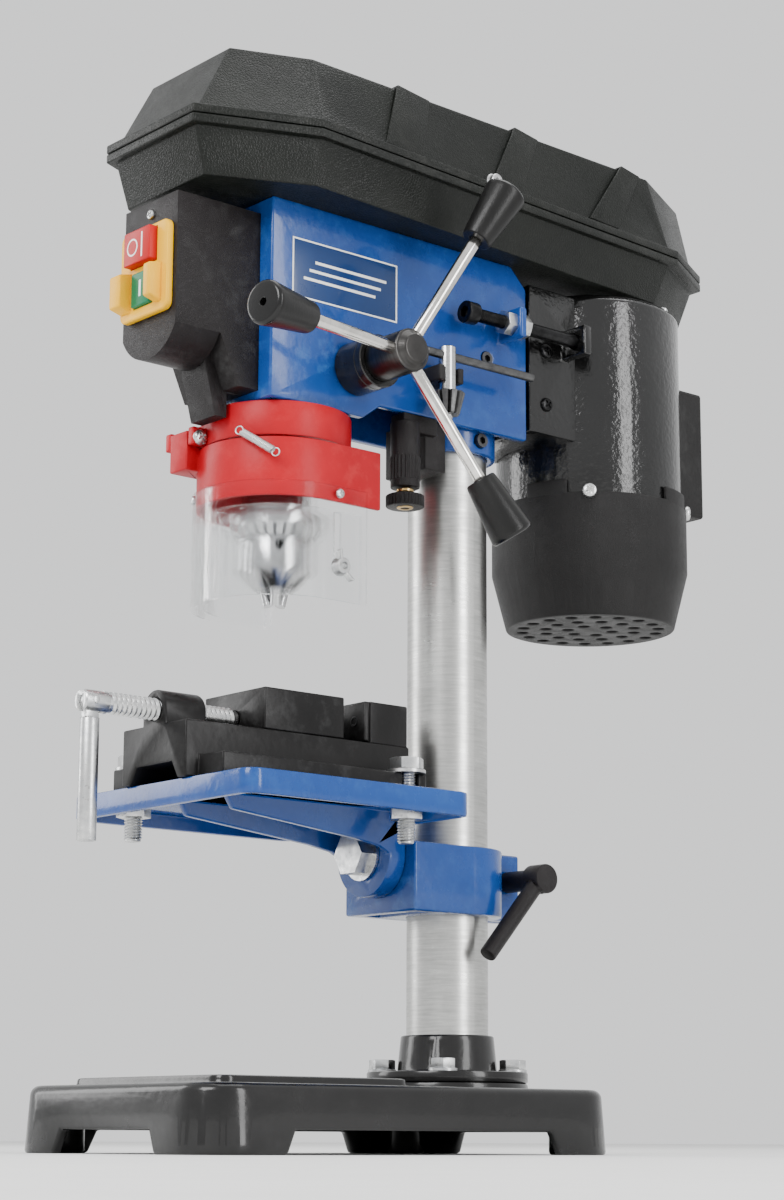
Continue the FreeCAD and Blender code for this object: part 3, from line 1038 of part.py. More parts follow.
node("table_bracket", cut("TableBracket",
                          fuse("TableBracketBlank", bracket_barrel, bracket_arm, bracket_boss, bracket_ears),
                          bracket_bore, bracket_slit, bracket_tilt_hole, ear_bolt_hole, bracket_room))

node("tilt_bolt", fuse("TiltBolt",
                       hexagon("TiltHead", "tiltBoltRadius * 1.72", "9", ("0", "tiltBossFront - 11", "tiltZ"), "Y"),
                       rod("TiltWasher", "tiltBoltRadius * 2", "1.7", ("0", "tiltBossFront - 2", "tiltZ"), "Y"),
                       rod("TiltShank", "tiltBoltRadius", "tiltFace + 18 - tiltBossFront + 11",
                           ("0", "tiltBossFront - 11", "tiltZ"), "Y")))

lever_tilt = math.radians(size("leverTilt"))
lever_turn = FreeCAD.Rotation(vector(0, 0, 1), vector(0, -math.sin(lever_tilt), math.cos(lever_tilt)))
node("clamp_lever", fuse("ClampLever",
                         rod("ClampScrew", "clampBoltRadius", "leverX + 20", ("-20", "clampBoltY", "clampBoltZ"), "X"),
                         hexagon("ClampScrewHead", "clampBoltRadius * 1.55", "6", ("-earHalf - sideGap - 6", "clampBoltY", "clampBoltZ"), "X"),
                         rod("LeverHub", "leverRadius + 3.5", "13", ("leverX - 6.5", "clampBoltY", "clampBoltZ"), "X"),
                         rod("LeverSpacer", "clampBoltRadius + 2", "leverX - earHalf - sideGap",
                             ("earHalf + sideGap", "clampBoltY", "clampBoltZ"), "X"),
                         rod("LeverHandle", "leverRadius", "leverLength", ("leverX", "clampBoltY", "clampBoltZ"), lever_turn)))

# ---------------------------------------------------------------- machine vice

vice_mid = table_mid
ledge = "tableTop + viceFlange"
rail_top = "tableTop + railHeight"
vice_ears = block("ViceEars", middle("viceHalf"), (vice_mid + " - viceEarHalf", vice_mid + " + viceEarHalf"),
                  ("tableTop", ledge))
vice_core = block("ViceCore", middle("bodyHalf"), ("bodyFront", "bodyRear"), ("tableTop", rail_top))
fixed_jaw = block("FixedJaw", middle("jawHalf"), ("fixedJawFace + 3", "bodyRear"), (rail_top, "jawTop"))
jaw_plate = block("JawPlate", middle("jawHalf - 1"), ("fixedJawFace", "fixedJawFace + 3"), (rail_top + " + 1", "jawTop"))
nut_boss = fuse("NutBoss", rod("NutRound", "nutRadius", "nutEnd - bodyFront", ("0", "bodyFront", "screwZ"), "Y"),
                block("NutFoot", middle("nutRadius"), ("bodyFront", "nutEnd"), (rail_top + " - 2", "screwZ")))
vice_channel = block("ViceChannel", middle("channelHalf"), ("nutEnd", "fixedJawFace + 3"), (ledge + " - 2", rail_top + " + 1"))
screw_bore = rod("ScrewBore", "screwRadius + runningGap", "60", ("0", "bodyFront - 10", "screwZ"), "Y")
front_arch = extruded("FrontArch", [("-22", "tableTop - 1"), ("22", "tableTop - 1"), ("16", "tableTop + 9"), ("-16", "tableTop + 9")],
                      "bodyFront + 26", "bodyFront - 5", "Y")
under_room = block("UnderRoom", middle("bodyHalf - 8"), ("bodyFront + 32", "bodyRear - 10"), ("tableTop - 1", ledge + " - 8"))
ear_slots = [block("EarSlotLeft", ("-viceHalf - 1", "-boltX + 5.5"), (vice_mid + " - boltY - 5.5", vice_mid + " - boltY + 5.5"),
                   ("tableTop - 1", ledge + " + 1")),
             block("EarSlotRight", ("boltX - 5.5", "viceHalf + 1"), (vice_mid + " + boltY - 5.5", vice_mid + " + boltY + 5.5"),
                   ("tableTop - 1", ledge + " + 1"))]
node("vice_body", cut("ViceBody", fuse("ViceBlank", vice_ears, vice_core, fixed_jaw, jaw_plate, nut_boss),
                      vice_channel, screw_bore, front_arch, under_room, *ear_slots))

node("vice_jaw", cut("ViceJaw", fuse("JawBlank",
                              block("JawHead", middle("jawHalf"), ("jawRear", "jawFront"), (rail_top + " + slideGap", "jawTop")),
                              block("JawTongue", middle("channelHalf - slideGap"), ("jawRear", "jawFront"),
                                    (ledge + " + 2", rail_top + " + slideGap"))),
                     extruded("JawNotch", [("-6", "jawFront + 1"), ("6", "jawFront + 1"), ("0", "jawFront - 6")],
                              rail_top + " + slideGap", "jawTop + 1", "Z"),
                     rod("JawSeat", "screwRadius - 1.5", "8", ("0", "jawRear - 1", "screwZ"), "Y")))
screw_body = rod("ScrewBody", "screwRadius", "jawRear - screwEnd - 0.3", ("0", "screwEnd", "screwZ"), "Y")
screw_nose = rod("ScrewNose", "screwRadius - 2", "5", ("0", "jawRear - 1", "screwZ"), "Y")
screw_slot = block("ScrewSlot", middle("2.7"), ("screwEnd - 1", "handlePivotY + 7"), ("screwZ - 10", "screwZ + 10"))
rivet_hole = rod("RivetHole", "2 + runningGap", "30", ("-15", "handlePivotY", "screwZ"), "X")
node("vice_screw", cut("ViceScrew", fuse("ScrewBlank", screw_body, screw_nose), screw_slot, rivet_hole))
node("vice_handle", fuse("ViceHandle",
                         rod("HandleEye", "5", "4.8", ("-2.4", "handlePivotY", "screwZ"), "X"),
                         block("HandleTongue", middle("2.4"), ("handlePivotY - 4", "handlePivotY + 4"), ("screwZ - 16", "screwZ")),
                         rod("HandleBar", "handleRadius", "handleLength - 9", ("0", "handlePivotY", "screwZ - 9"), "-Z"),
                         rod("HandleRivet", "2", "13", ("-6.5", "handlePivotY", "screwZ"), "X")))
vice_bolts = []
for k, sign in enumerate((-1, 1)):
    seat = ("%d * boltX" % sign, "%s + %d * boltY" % (vice_mid, sign))
    nut_foot = "tableTop - tableThick - 8"
    vice_bolts.append(fuse("ViceBolt%d" % k,
                           rod("ViceWasher%d" % k, "10.5", "2", seat + (ledge,)),
                           hexagon("ViceHead%d" % k, "9.5", "6.4", seat + (ledge + " + 2",)),
                           rod("ViceShank%d" % k, "5", "40", seat + (ledge + " + 2 - 40",)),
                           hexagon("ViceNut%d" % k, "9.5", "8", seat + (nut_foot,))))
node("vice_bolts", group("ViceBolts", *vice_bolts))

# ---------------------------------------------------------------- check and write

doc.recompute()
failed = [item.Name for item in doc.Objects if "Invalid" in item.State or "Error" in item.State]
for name, item in nodes:
    if item.Shape.isNull() or not item.Shape.isValid():
        failed.append(name)
if failed:
    raise RuntimeError("These objects failed: " + ", ".join(failed))
if len(nodes) > 60:
    raise RuntimeError("More than 60 nodes: %d" % len(nodes))
for name, item in nodes:
    item.Shape.exportStep("parts/%s.step" % name)
    box = item.Shape.BoundBox
    print("%-16s solids %2d  volume %9.0f  x %6.1f..%6.1f  y %6.1f..%6.1f  z %6.1f..%6.1f" % (
        name, len(item.Shape.Solids), item.Shape.Volume, box.XMin, box.XMax, box.YMin, box.YMax, box.ZMin, box.ZMax))
print("%d nodes" % len(nodes))
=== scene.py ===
import math

import bmesh
import bpy
from mathutils import Matrix, Vector


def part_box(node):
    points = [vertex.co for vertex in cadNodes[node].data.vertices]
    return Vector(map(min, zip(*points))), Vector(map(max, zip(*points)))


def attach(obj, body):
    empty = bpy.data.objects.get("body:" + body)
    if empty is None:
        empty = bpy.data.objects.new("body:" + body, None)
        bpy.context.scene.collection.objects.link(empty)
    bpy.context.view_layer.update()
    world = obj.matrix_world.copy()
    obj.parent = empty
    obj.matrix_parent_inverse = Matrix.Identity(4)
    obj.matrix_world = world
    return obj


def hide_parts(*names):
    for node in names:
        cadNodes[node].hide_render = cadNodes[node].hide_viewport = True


# Bench drill press. Metres, +Z up, the operator stands at -Y and the feed spokes are at +X.

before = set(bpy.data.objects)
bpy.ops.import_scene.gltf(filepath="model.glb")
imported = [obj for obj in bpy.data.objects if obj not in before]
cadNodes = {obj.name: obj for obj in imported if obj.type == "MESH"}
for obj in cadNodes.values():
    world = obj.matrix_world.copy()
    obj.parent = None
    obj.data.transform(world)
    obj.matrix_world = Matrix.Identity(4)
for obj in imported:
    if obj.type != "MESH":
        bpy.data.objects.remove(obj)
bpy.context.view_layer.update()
mm = 0.001

place = {                       # lines and levels that many pieces share, in metres
    "spindleY": -0.036,
    "columnY": 0.090,
    "motorY": 0.206,
    "feedY": -0.00925,
    "feedZ": 0.425,
}


# picking and finishing

def pickNothing():
    if bpy.context.object and bpy.context.object.mode != "OBJECT":
        bpy.ops.object.mode_set(mode="OBJECT")
    bpy.ops.object.select_all(action="DESELECT")


def pickOnly(piece):
    pickNothing()
    piece.select_set(True)
    bpy.context.view_layer.objects.active = piece


def applyPlace(piece):
    pickOnly(piece)
    bpy.ops.object.transform_apply(location=True, rotation=True, scale=True)


def bakeModifiers(piece):
    pickOnly(piece)
    for modifier in list(piece.modifiers):
        bpy.ops.object.modifier_apply(modifier=modifier.name)


def roundEdges(piece, width, segments=2, angle=32, clamp=True):
    bevel = piece.modifiers.new("roundEdges", "BEVEL")
    bevel.width = width
    bevel.segments = segments
    bevel.limit_method = "ANGLE"
    bevel.angle_limit = math.radians(angle)
    bevel.use_clamp_overlap = clamp
    bevel.harden_normals = False
    bakeModifiers(piece)


def finishPiece(piece, name, body, material, smooth=32):
    # name it, give it its material and let it ride on its body
    piece.name = name
    piece.data.name = name
    applyPlace(piece)
    piece.data.materials.clear()
    piece.data.materials.append(material)
    pickOnly(piece)
    bpy.ops.object.shade_smooth_by_angle(angle=math.radians(smooth))
    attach(piece, body)
    return piece


def joinPieces(pieces):
    pickNothing()
    for piece in pieces:
        piece.select_set(True)
    bpy.context.view_layer.objects.active = pieces[0]
    if len(pieces) > 1:
        bpy.ops.object.join()
    return bpy.context.view_layer.objects.active


def softenNode(node, width, body, material, segments=2, angle=32, clamp=False, merge=2e-5):
    # a rounded-edge copy of a CAD node that stands for it
    pickOnly(cadNodes[node])
    bpy.ops.object.duplicate()
    piece = bpy.context.object
    piece.parent = None
    for key in list(piece.keys()):
        if key.startswith("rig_"):
            del piece[key]
    bpy.ops.object.mode_set(mode="EDIT")
    bpy.ops.mesh.select_all(action="SELECT")
    bpy.ops.mesh.remove_doubles(threshold=merge)
    bpy.ops.mesh.dissolve_limited(angle_limit=math.radians(1.0), use_dissolve_boundaries=False)
    bpy.ops.mesh.normals_make_consistent(inside=False)
    bpy.ops.object.mode_set(mode="OBJECT")
    if width > 0:
        roundEdges(piece, width, segments, angle, clamp)
    finishPiece(piece, node + "Body", body, material)
    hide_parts(node)
    return piece


# primitives that are shaped further in edit mode

def addRod(radius, length, at, direction=(0, 0, 1), vertices=48):
    # a rod that starts at a point and runs along a direction
    axis = Vector(direction).normalized()
    middle = Vector(at) + axis * length / 2
    turn = axis.to_track_quat("Z", "Y").to_euler()
    pickNothing()
    bpy.ops.mesh.primitive_cylinder_add(vertices=vertices, radius=radius, depth=length,
                                        location=middle, rotation=turn)
    return bpy.context.object


def addBlock(low, high):
    size = [b - a for a, b in zip(low, high)]
    middle = [(a + b) / 2 for a, b in zip(low, high)]
    pickNothing()
    bpy.ops.mesh.primitive_cube_add(size=1, location=middle)
    piece = bpy.context.object
    piece.scale = size
    applyPlace(piece)
    return piece


def drawProfile(points, closed):
    # a chain of edges through (radius, height) points, with or without its closing edge
    pickNothing()
    bpy.ops.mesh.primitive_circle_add(vertices=len(points), radius=1, fill_type="NOTHING")
    piece = bpy.context.object
    for vertex, (radius, height) in zip(piece.data.vertices, points):
        vertex.co = (radius, 0, height)
    if not closed:
        bpy.ops.object.mode_set(mode="EDIT")
        drawn = bmesh.from_edit_mesh(piece.data)
        drawn.verts.ensure_lookup_table()
        ends = {drawn.verts[0], drawn.verts[len(points) - 1]}
        closing = [edge for edge in drawn.edges if set(edge.verts) == ends]
        bmesh.ops.delete(drawn, geom=closing, context="EDGES")
        bmesh.update_edit_mesh(piece.data)
        bpy.ops.object.mode_set(mode="OBJECT")
    return piece


def turnProfile(profile, at, direction=(0, 0, 1), steps=64, closed=False, sweep=360):
    # spin a profile about its axis, then stand it at a point
    piece = drawProfile(profile, closed)
    bpy.ops.object.mode_set(mode="EDIT")
    bpy.ops.mesh.select_all(action="SELECT")
    bpy.ops.mesh.spin(steps=steps, angle=math.radians(sweep), center=(0, 0, 0), axis=(0, 0, 1))
    bpy.ops.mesh.select_all(action="SELECT")
    bpy.ops.mesh.remove_doubles(threshold=1e-6)
    if sweep < 360:
        bpy.ops.mesh.fill_holes(sides=0)
        bpy.ops.mesh.select_all(action="SELECT")
    bpy.ops.mesh.normals_make_consistent(inside=False)
    bpy.ops.object.mode_set(mode="OBJECT")
    piece.rotation_euler = Vector(direction).to_track_quat("Z", "Y").to_euler()
    piece.location = at
    applyPlace(piece)
    return piece


def cutAway(piece, tool):
    pickOnly(piece)
    cutting = piece.modifiers.new("cutAway", "BOOLEAN")
    cutting.operation = "DIFFERENCE"
    cutting.object = tool
    cutting.solver = "EXACT"
    bakeModifiers(piece)
    bpy.data.objects.remove(tool)
    return piece


# materials: all procedural, on object coordinates in metres

def newMaterial(name):
    material = bpy.data.materials.new(name)
    material.use_nodes = True
    nodes = material.node_tree.nodes
    nodes.clear()
    output = nodes.new("ShaderNodeOutputMaterial")
    shader = nodes.new("ShaderNodeBsdfPrincipled")
    material.node_tree.links.new(shader.outputs[0], output.inputs[0])
    return material, nodes, material.node_tree.links, shader


def objectPoints(nodes, links, stretch=(1, 1, 1)):
    point = nodes.new("ShaderNodeTexCoord")
    mapping = nodes.new("ShaderNodeMapping")
    mapping.inputs["Scale"].default_value = stretch
    links.new(point.outputs["Object"], mapping.inputs["Vector"])
    return mapping.outputs["Vector"]


def noiseOn(nodes, links, points, scale, detail=4, roughness=0.55):
    noise = nodes.new("ShaderNodeTexNoise")
    noise.inputs["Scale"].default_value = scale
    noise.inputs["Detail"].default_value = detail
    noise.inputs["Roughness"].default_value = roughness
    links.new(points, noise.inputs["Vector"])
    return noise.outputs["Fac"]


def rampOf(nodes, links, factor, stops):
    ramp = nodes.new("ShaderNodeValToRGB")
    links.new(factor, ramp.inputs["Fac"])
    elements = ramp.color_ramp.elements
    while len(elements) < len(stops):
        elements.new(0.5)
    for element, (position, colour) in zip(elements, stops):
        element.position = position
        element.color = colour if len(colour) == 4 else (*colour, 1)
    return ramp.outputs["Color"]


def greyOf(value):
    return (value, value, value)


def bumpFrom(nodes, links, height, strength, distance, before=None):
    bump = nodes.new("ShaderNodeBump")
    bump.inputs["Strength"].default_value = strength
    bump.inputs["Distance"].default_value = distance
    links.new(height, bump.inputs["Height"])
    if before is not None:
        links.new(before, bump.inputs["Normal"])
    return bump.outputs["Normal"]


def edgeWear(nodes, links, points, colour, worn, amount):
    # pointed edges show a little of the colour below
    geometry = nodes.new("ShaderNodeNewGeometry")
    edge = rampOf(nodes, links, geometry.outputs["Pointiness"], [(0.52, greyOf(0)), (0.60, greyOf(1))])
    patches = rampOf(nodes, links, noiseOn(nodes, links, points, 90, 5, 0.7),
                     [(0.50, greyOf(0)), (0.68, greyOf(amount))])
    both = nodes.new("ShaderNodeMath")
    both.operation = "MULTIPLY"
    links.new(edge, both.inputs[0])
    links.new(patches, both.inputs[1])
    mix = nodes.new("ShaderNodeMix")
    mix.data_type = "RGBA"
    links.new(both.outputs[0], mix.inputs[0])
    links.new(colour, mix.inputs[6])
    mix.inputs[7].default_value = (*worn, 1)
    return mix.outputs[2]


def paintMaterial(name, dark, light, roughness, peelScale, peelDepth, coat=0.0, worn=None, dust=0.04,
                  grain=None, specular=0.5):
    # enamel or moulded plastic: slow colour drift, dust, orange peel or leather grain
    material, nodes, links, shader = newMaterial(name)
    points = objectPoints(nodes, links)
    drift = noiseOn(nodes, links, points, 14, 6, 0.6)
    colour = rampOf(nodes, links, drift, [(0.32, dark), (0.70, light)])
    if worn is not None:
        colour = edgeWear(nodes, links, points, colour, worn, 0.55)
    links.new(colour, shader.inputs["Base Color"])
    smear = noiseOn(nodes, links, points, 55, 6, 0.65)
    gloss = rampOf(nodes, links, smear, [(0.30, greyOf(max(0.02, roughness - dust))),
                                         (0.72, greyOf(roughness + dust * 2))])
    links.new(gloss, shader.inputs["Roughness"])
    normal = bumpFrom(nodes, links, noiseOn(nodes, links, points, peelScale, 2, 0.5), 0.35, peelDepth)
    if grain:
        cells = nodes.new("ShaderNodeTexVoronoi")
        cells.feature = "DISTANCE_TO_EDGE"
        cells.inputs["Scale"].default_value = grain[0]
        links.new(points, cells.inputs["Vector"])
        pores = rampOf(nodes, links, cells.outputs["Distance"], [(0.0, greyOf(0)), (0.22, greyOf(1))])
        normal = bumpFrom(nodes, links, pores, 0.45, grain[1], normal)
    links.new(normal, shader.inputs["Normal"])
    shader.inputs["Specular IOR Level"].default_value = specular
    if coat:
        shader.inputs["Coat Weight"].default_value = coat
        shader.inputs["Coat Roughness"].default_value = 0.08
    return material


def metalMaterial(name, dark, light, roughness, stretch, lineScale, lineDepth, spots=0.0):
    # machined or plated metal: fine lines along the cut, smudges and small spots
    material, nodes, links, shader = newMaterial(name)
    points = objectPoints(nodes, links)
    lines = noiseOn(nodes, links, objectPoints(nodes, links, stretch), lineScale, 3, 0.6)
    smudge = noiseOn(nodes, links, points, 30, 6, 0.62)
    both = nodes.new("ShaderNodeMath")
    both.operation = "MULTIPLY_ADD"
    links.new(lines, both.inputs[0])
    both.inputs[1].default_value = 0.45
    half = nodes.new("ShaderNodeMath")
    half.operation = "MULTIPLY"
    links.new(smudge, half.inputs[0])
    half.inputs[1].default_value = 0.55
    links.new(half.outputs[0], both.inputs[2])
    colour = rampOf(nodes, links, both.outputs[0], [(0.34, dark), (0.64, light)])
    if spots:
        speck = rampOf(nodes, links, noiseOn(nodes, links, points, 420, 2, 0.5),
                       [(0.64, greyOf(1)), (0.70, greyOf(1 - spots))])
        tint = nodes.new("ShaderNodeMix")
        tint.data_type = "RGBA"
        tint.blend_type = "MULTIPLY"
        tint.inputs[0].default_value = 1.0
        links.new(colour, tint.inputs[6])
        links.new(speck, tint.inputs[7])
        colour = tint.outputs[2]
    links.new(colour, shader.inputs["Base Color"])
    gloss = rampOf(nodes, links, both.outputs[0],
                   [(0.3, greyOf(roughness * 1.35)), (0.7, greyOf(roughness * 0.75))])
    links.new(gloss, shader.inputs["Roughness"])
    links.new(bumpFrom(nodes, links, lines, 0.25, lineDepth), shader.inputs["Normal"])
    shader.inputs["Metallic"].default_value = 1.0
    return material


def clearMaterial(name, tint, roughness):
    # clear sheet with faint scratches and edge tint
    material, nodes, links, shader = newMaterial(name)
    points = objectPoints(nodes, links, (1, 1, 0.15))
    scratch = noiseOn(nodes, links, points, 300, 5, 0.7)
    gloss = rampOf(nodes, links, scratch, [(0.60, greyOf(roughness)), (0.80, greyOf(roughness + 0.08))])
    links.new(gloss, shader.inputs["Roughness"])
    shader.inputs["Base Color"].default_value = (*tint, 1)
    shader.inputs["Transmission Weight"].default_value = 1.0
    shader.inputs["IOR"].default_value = 1.2
    shader.inputs["Alpha"].default_value = 0.34
    return material


blueEnamel = paintMaterial("blueEnamel", (0.002, 0.038, 0.200), (0.004, 0.058, 0.262), 0.24, 260, 0.0004,
                           coat=0.35, worn=(0.05, 0.16, 0.42), specular=0.3)
blackEnamel = paintMaterial("blackEnamel", (0.003, 0.003, 0.003), (0.008, 0.0075, 0.0075), 0.22, 200, 0.0004,
                            coat=0.25, worn=(0.05, 0.05, 0.05), specular=0.3)
motorEnamel = paintMaterial("motorEnamel", (0.002, 0.002, 0.002), (0.007, 0.007, 0.007), 0.15, 330, 0.0014,
                            coat=0.45, specular=0.35)
coverPlastic = paintMaterial("coverPlastic", (0.0035, 0.0045, 0.0036), (0.0080, 0.0092, 0.0074), 0.34, 700,
                             0.0002, worn=(0.03, 0.03, 0.027), dust=0.04, grain=(620, 0.00025), specular=0.2)
boxPlastic = paintMaterial("boxPlastic", (0.0065, 0.0052, 0.0054), (0.0130, 0.0108, 0.0112), 0.38, 900, 0.0002,
                           worn=(0.04, 0.04, 0.04), dust=0.03, grain=(1100, 0.0002), specular=0.2)
fanPlastic = paintMaterial("fanPlastic", (0.0070, 0.0066, 0.0066), (0.0140, 0.0132, 0.0132), 0.44, 900, 0.0003,
                           worn=(0.04, 0.04, 0.04), grain=(1300, 0.0002), specular=0.2)
viceBlack = paintMaterial("viceBlack", (0.0030, 0.0028, 0.0028), (0.0075, 0.0068, 0.0068), 0.34, 240, 0.0004,
                          worn=(0.05, 0.05, 0.05), dust=0.03, specular=0.22)
redPlastic = paintMaterial("redPlastic", (0.34, 0.002, 0.008), (0.46, 0.005, 0.014), 0.40, 500, 0.0002,
                           worn=(0.60, 0.06, 0.06), dust=0.02, specular=0.2)
yellowPlastic = paintMaterial("yellowPlastic", (0.78, 0.38, 0.000), (0.88, 0.47, 0.002), 0.36, 500, 0.0002,
                              worn=(0.92, 0.60, 0.05), dust=0.02, specular=0.2)
redButton = paintMaterial("redButton", (0.36, 0.002, 0.003), (0.46, 0.004, 0.006), 0.34, 500, 0.0001,
                          dust=0.02, specular=0.2)
greenButton = paintMaterial("greenButton", (0.000, 0.115, 0.045), (0.001, 0.160, 0.065), 0.34, 500, 0.0001,
                            dust=0.02, specular=0.2)
# white for print and for the painted highlight stripe on the stop button
whitePrint = paintMaterial("whitePrint", (0.80, 0.80, 0.78), (0.92, 0.92, 0.90), 0.45, 600, 0.0001)
beltRubber = paintMaterial("beltRubber", (0.012, 0.012, 0.012), (0.03, 0.03, 0.03), 0.62, 800, 0.0003)
knobPlastic = paintMaterial("knobPlastic", (0.0045, 0.0045, 0.0044), (0.0100, 0.0098, 0.0095), 0.32, 800, 0.0003,
                            worn=(0.06, 0.06, 0.06), dust=0.02, specular=0.25)
knobCap = paintMaterial("knobCap", (0.003, 0.003, 0.003), (0.008, 0.008, 0.008), 0.20, 500, 0.0001,
                        specular=0.35)
badgeBlue = paintMaterial("badgeBlue", (0.002, 0.024, 0.105), (0.003, 0.034, 0.140), 0.28, 300, 0.0001,
                          coat=0.2, dust=0.01, specular=0.3)
columnSteel = metalMaterial("columnSteel", (0.36, 0.36, 0.35), (0.62, 0.62, 0.60), 0.30, (1, 1, 14), 60, 0.00006)
turnedSteel = metalMaterial("turnedSteel", (0.40, 0.40, 0.40), (0.66, 0.66, 0.66), 0.20, (1, 1, 40), 60, 0.00005)
chuckSteel = metalMaterial("chuckSteel", (0.34, 0.34, 0.34), (0.60, 0.60, 0.61), 0.16, (1, 1, 40), 60, 0.00004)
zincPlate = metalMaterial("zincPlate", (0.44, 0.45, 0.46), (0.70, 0.70, 0.69), 0.30, (1, 1, 1), 240, 0.00010,
                          spots=0.3)
darkSteel = metalMaterial("darkSteel", (0.05, 0.05, 0.052), (0.13, 0.13, 0.13), 0.38, (1, 1, 1), 260, 0.00010)
pulleyAlloy = metalMaterial("pulleyAlloy", (0.50, 0.50, 0.51), (0.74, 0.74, 0.74), 0.34, (1, 1, 30), 60, 0.00008)
turnedBrass = metalMaterial("turnedBrass", (0.42, 0.27, 0.10), (0.66, 0.46, 0.19), 0.26, (1, 1, 30), 80, 0.00006)
blackOxide = metalMaterial("blackOxide", (0.010, 0.010, 0.010), (0.035, 0.035, 0.036), 0.32, (1, 1, 1), 260,
                           0.00010)
hubSteel = metalMaterial("hubSteel", (0.030, 0.029, 0.028), (0.085, 0.082, 0.080), 0.30, (20, 1, 1), 60, 0.00006)
spokeChrome = metalMaterial("spokeChrome", (0.58, 0.56, 0.53), (0.86, 0.84, 0.80), 0.14, (1, 1, 1), 120, 0.00004)
clearSheet = clearMaterial("clearSheet", (0.95, 0.965, 0.97), 0.01)
clearPanel = clearMaterial("clearPanel", (0.94, 0.955, 0.96), 0.02)
print("materials made")


# nodes that keep their CAD shape, seen through gaps or only when opened

plainFinishes = {
    "column": columnSteel, "quill": turnedSteel, "spindle": turnedSteel, "quill_bearings": turnedSteel,
    "pulley_bearing": turnedSteel, "spindle_pulley": pulleyAlloy, "motor_pulley": pulleyAlloy,
    "drive_belt": beltRubber, "motor_rotor": turnedSteel, "motor_fan": fanPlastic, "switch_module": boxPlastic,
    "return_spring": turnedSteel, "guard_shield": clearSheet, "guard_slider": clearPanel,
    "head_set_screws": darkSteel, "chuck_jaw_a": chuckSteel, "chuck_jaw_b": chuckSteel,
    "chuck_jaw_c": chuckSteel, "tilt_bolt": zincPlate,
}
for node, finish in plainFinishes.items():
    cadNodes[node].data.materials.clear()
    cadNodes[node].data.materials.append(finish)


# castings, sheet pieces and mouldings with rounded edges

roundedNodes = [                # node, edge width in mm, body, slot, finish
    ("base", 1.6, "frame", "black_casting", blackEnamel),
    ("column_flange", 1.0, "frame", "black_casting", blackEnamel),
    ("head_casting", 1.4, "frame", "blue_casting", blueEnamel),
    ("cover_pan", 0.8, "frame", "cover_plastic", coverPlastic),
    ("cover_lid", 0.8, "lid", "cover_plastic", coverPlastic),
    ("spring_cap", 0.8, "frame", "black_plastic", boxPlastic),
    ("key_clip", 0.7, "frame", "black_plastic", boxPlastic),
    ("motor_bracket", 1.0, "motor", "black_paint", motorEnamel),
    ("motor_housing", 1.2, "motor", "black_paint", motorEnamel),
    ("capacitor_box", 2.0, "motor", "black_plastic", fanPlastic),
    ("fan_cover", 1.0, "motor", "black_paint", fanPlastic),
    ("guard_clamp", 0.9, "quill_unit", "red_plastic", redPlastic),
    ("guard_holder", 0.8, "guard", "red_plastic", redPlastic),
    ("table", 1.2, "table_unit", "blue_casting", blueEnamel),
    ("table_bracket", 1.4, "bracket", "blue_casting", blueEnamel),
    ("vice_body", 1.0, "table_unit", "black_casting", viceBlack),
    ("vice_jaw", 0.9, "moving_jaw", "black_casting", viceBlack),
    ("clamp_lever", 1.0, "lever", "black_plastic", boxPlastic),
    ("laser_unit", 0.8, "frame", "black_plastic", boxPlastic),
    ("laser_knob", 0.6, "laser_ring", "black_plastic", boxPlastic),
]
for node, width, body, slot, finish in roundedNodes:
    softenNode(node, width * mm, body, finish)
softenNode("switch_box", 0.8 * mm, "frame", boxPlastic, clamp=True)
print("castings rounded")


# shared hardware: hexagon heads, cross and socket heads, threads, coils and ribbed rings

def placed(piece, at, direction=(0, 0, 1), roll=0.0):
    # a piece that was made along +Z is stood at a point, along a direction
    turn = Vector(direction).normalized().to_track_quat("Z", "Y").to_matrix().to_4x4()
    piece.matrix_world = Matrix.Translation(at) @ turn @ Matrix.Rotation(math.radians(roll), 4, "Z")
    applyPlace(piece)
    return piece


def hexHead(flats, height, bore=0.0):
    # hexagon with its corners turned off at the top
    corner = flats / math.sqrt(3)
    pickNothing()
    bpy.ops.mesh.primitive_cylinder_add(vertices=6, radius=corner, depth=height, location=(0, 0, height / 2))
    head = bpy.context.object
    crown = turnProfile([(0, -0.001), (corner + 0.001, -0.001), (corner + 0.001, height - 0.7 * mm),
                         (flats / 2 - 0.1 * mm, height), (0, height)], (0, 0, 0), steps=48)
    pickOnly(head)
    turning = head.modifiers.new("crown", "BOOLEAN")
    turning.operation = "INTERSECT"
    turning.object = crown
    turning.solver = "EXACT"
    bakeModifiers(head)
    bpy.data.objects.remove(crown)
    if bore:
        head = cutAway(head, addRod(bore, height * 3, (0, 0, -height)))
    roundEdges(head, 0.18 * mm, 2, 28)
    applyPlace(head)
    return head


def crossHead(radius, height):
    # domed screw head with a cross recess
    head = turnProfile([(0, -0.6 * mm), (radius, -0.6 * mm), (radius, height * 0.35),
                        (radius * 0.86, height * 0.78), (radius * 0.5, height), (0, height)],
                       (0, 0, 0), steps=40)
    slotHalf = radius * 0.13
    for wide, long in ((slotHalf, radius * 0.62), (radius * 0.62, slotHalf)):
        head = cutAway(head, addBlock((-wide, -long, height * 0.35), (wide, long, height * 2)))
    roundEdges(head, 0.07 * mm, 2, 30)
    return head


def socketHead(radius, height, socket):
    # cap head with a hexagon socket
    head = turnProfile([(0, 0), (radius, 0), (radius, height - 0.5 * mm), (radius - 0.5 * mm, height),
                        (0, height)], (0, 0, 0), steps=48)
    pickNothing()
    bpy.ops.mesh.primitive_cylinder_add(vertices=6, radius=socket / math.sqrt(3), depth=height,
                                        location=(0, 0, height))
    head = cutAway(head, bpy.context.object)
    roundEdges(head, 0.15 * mm, 2, 30)
    return head


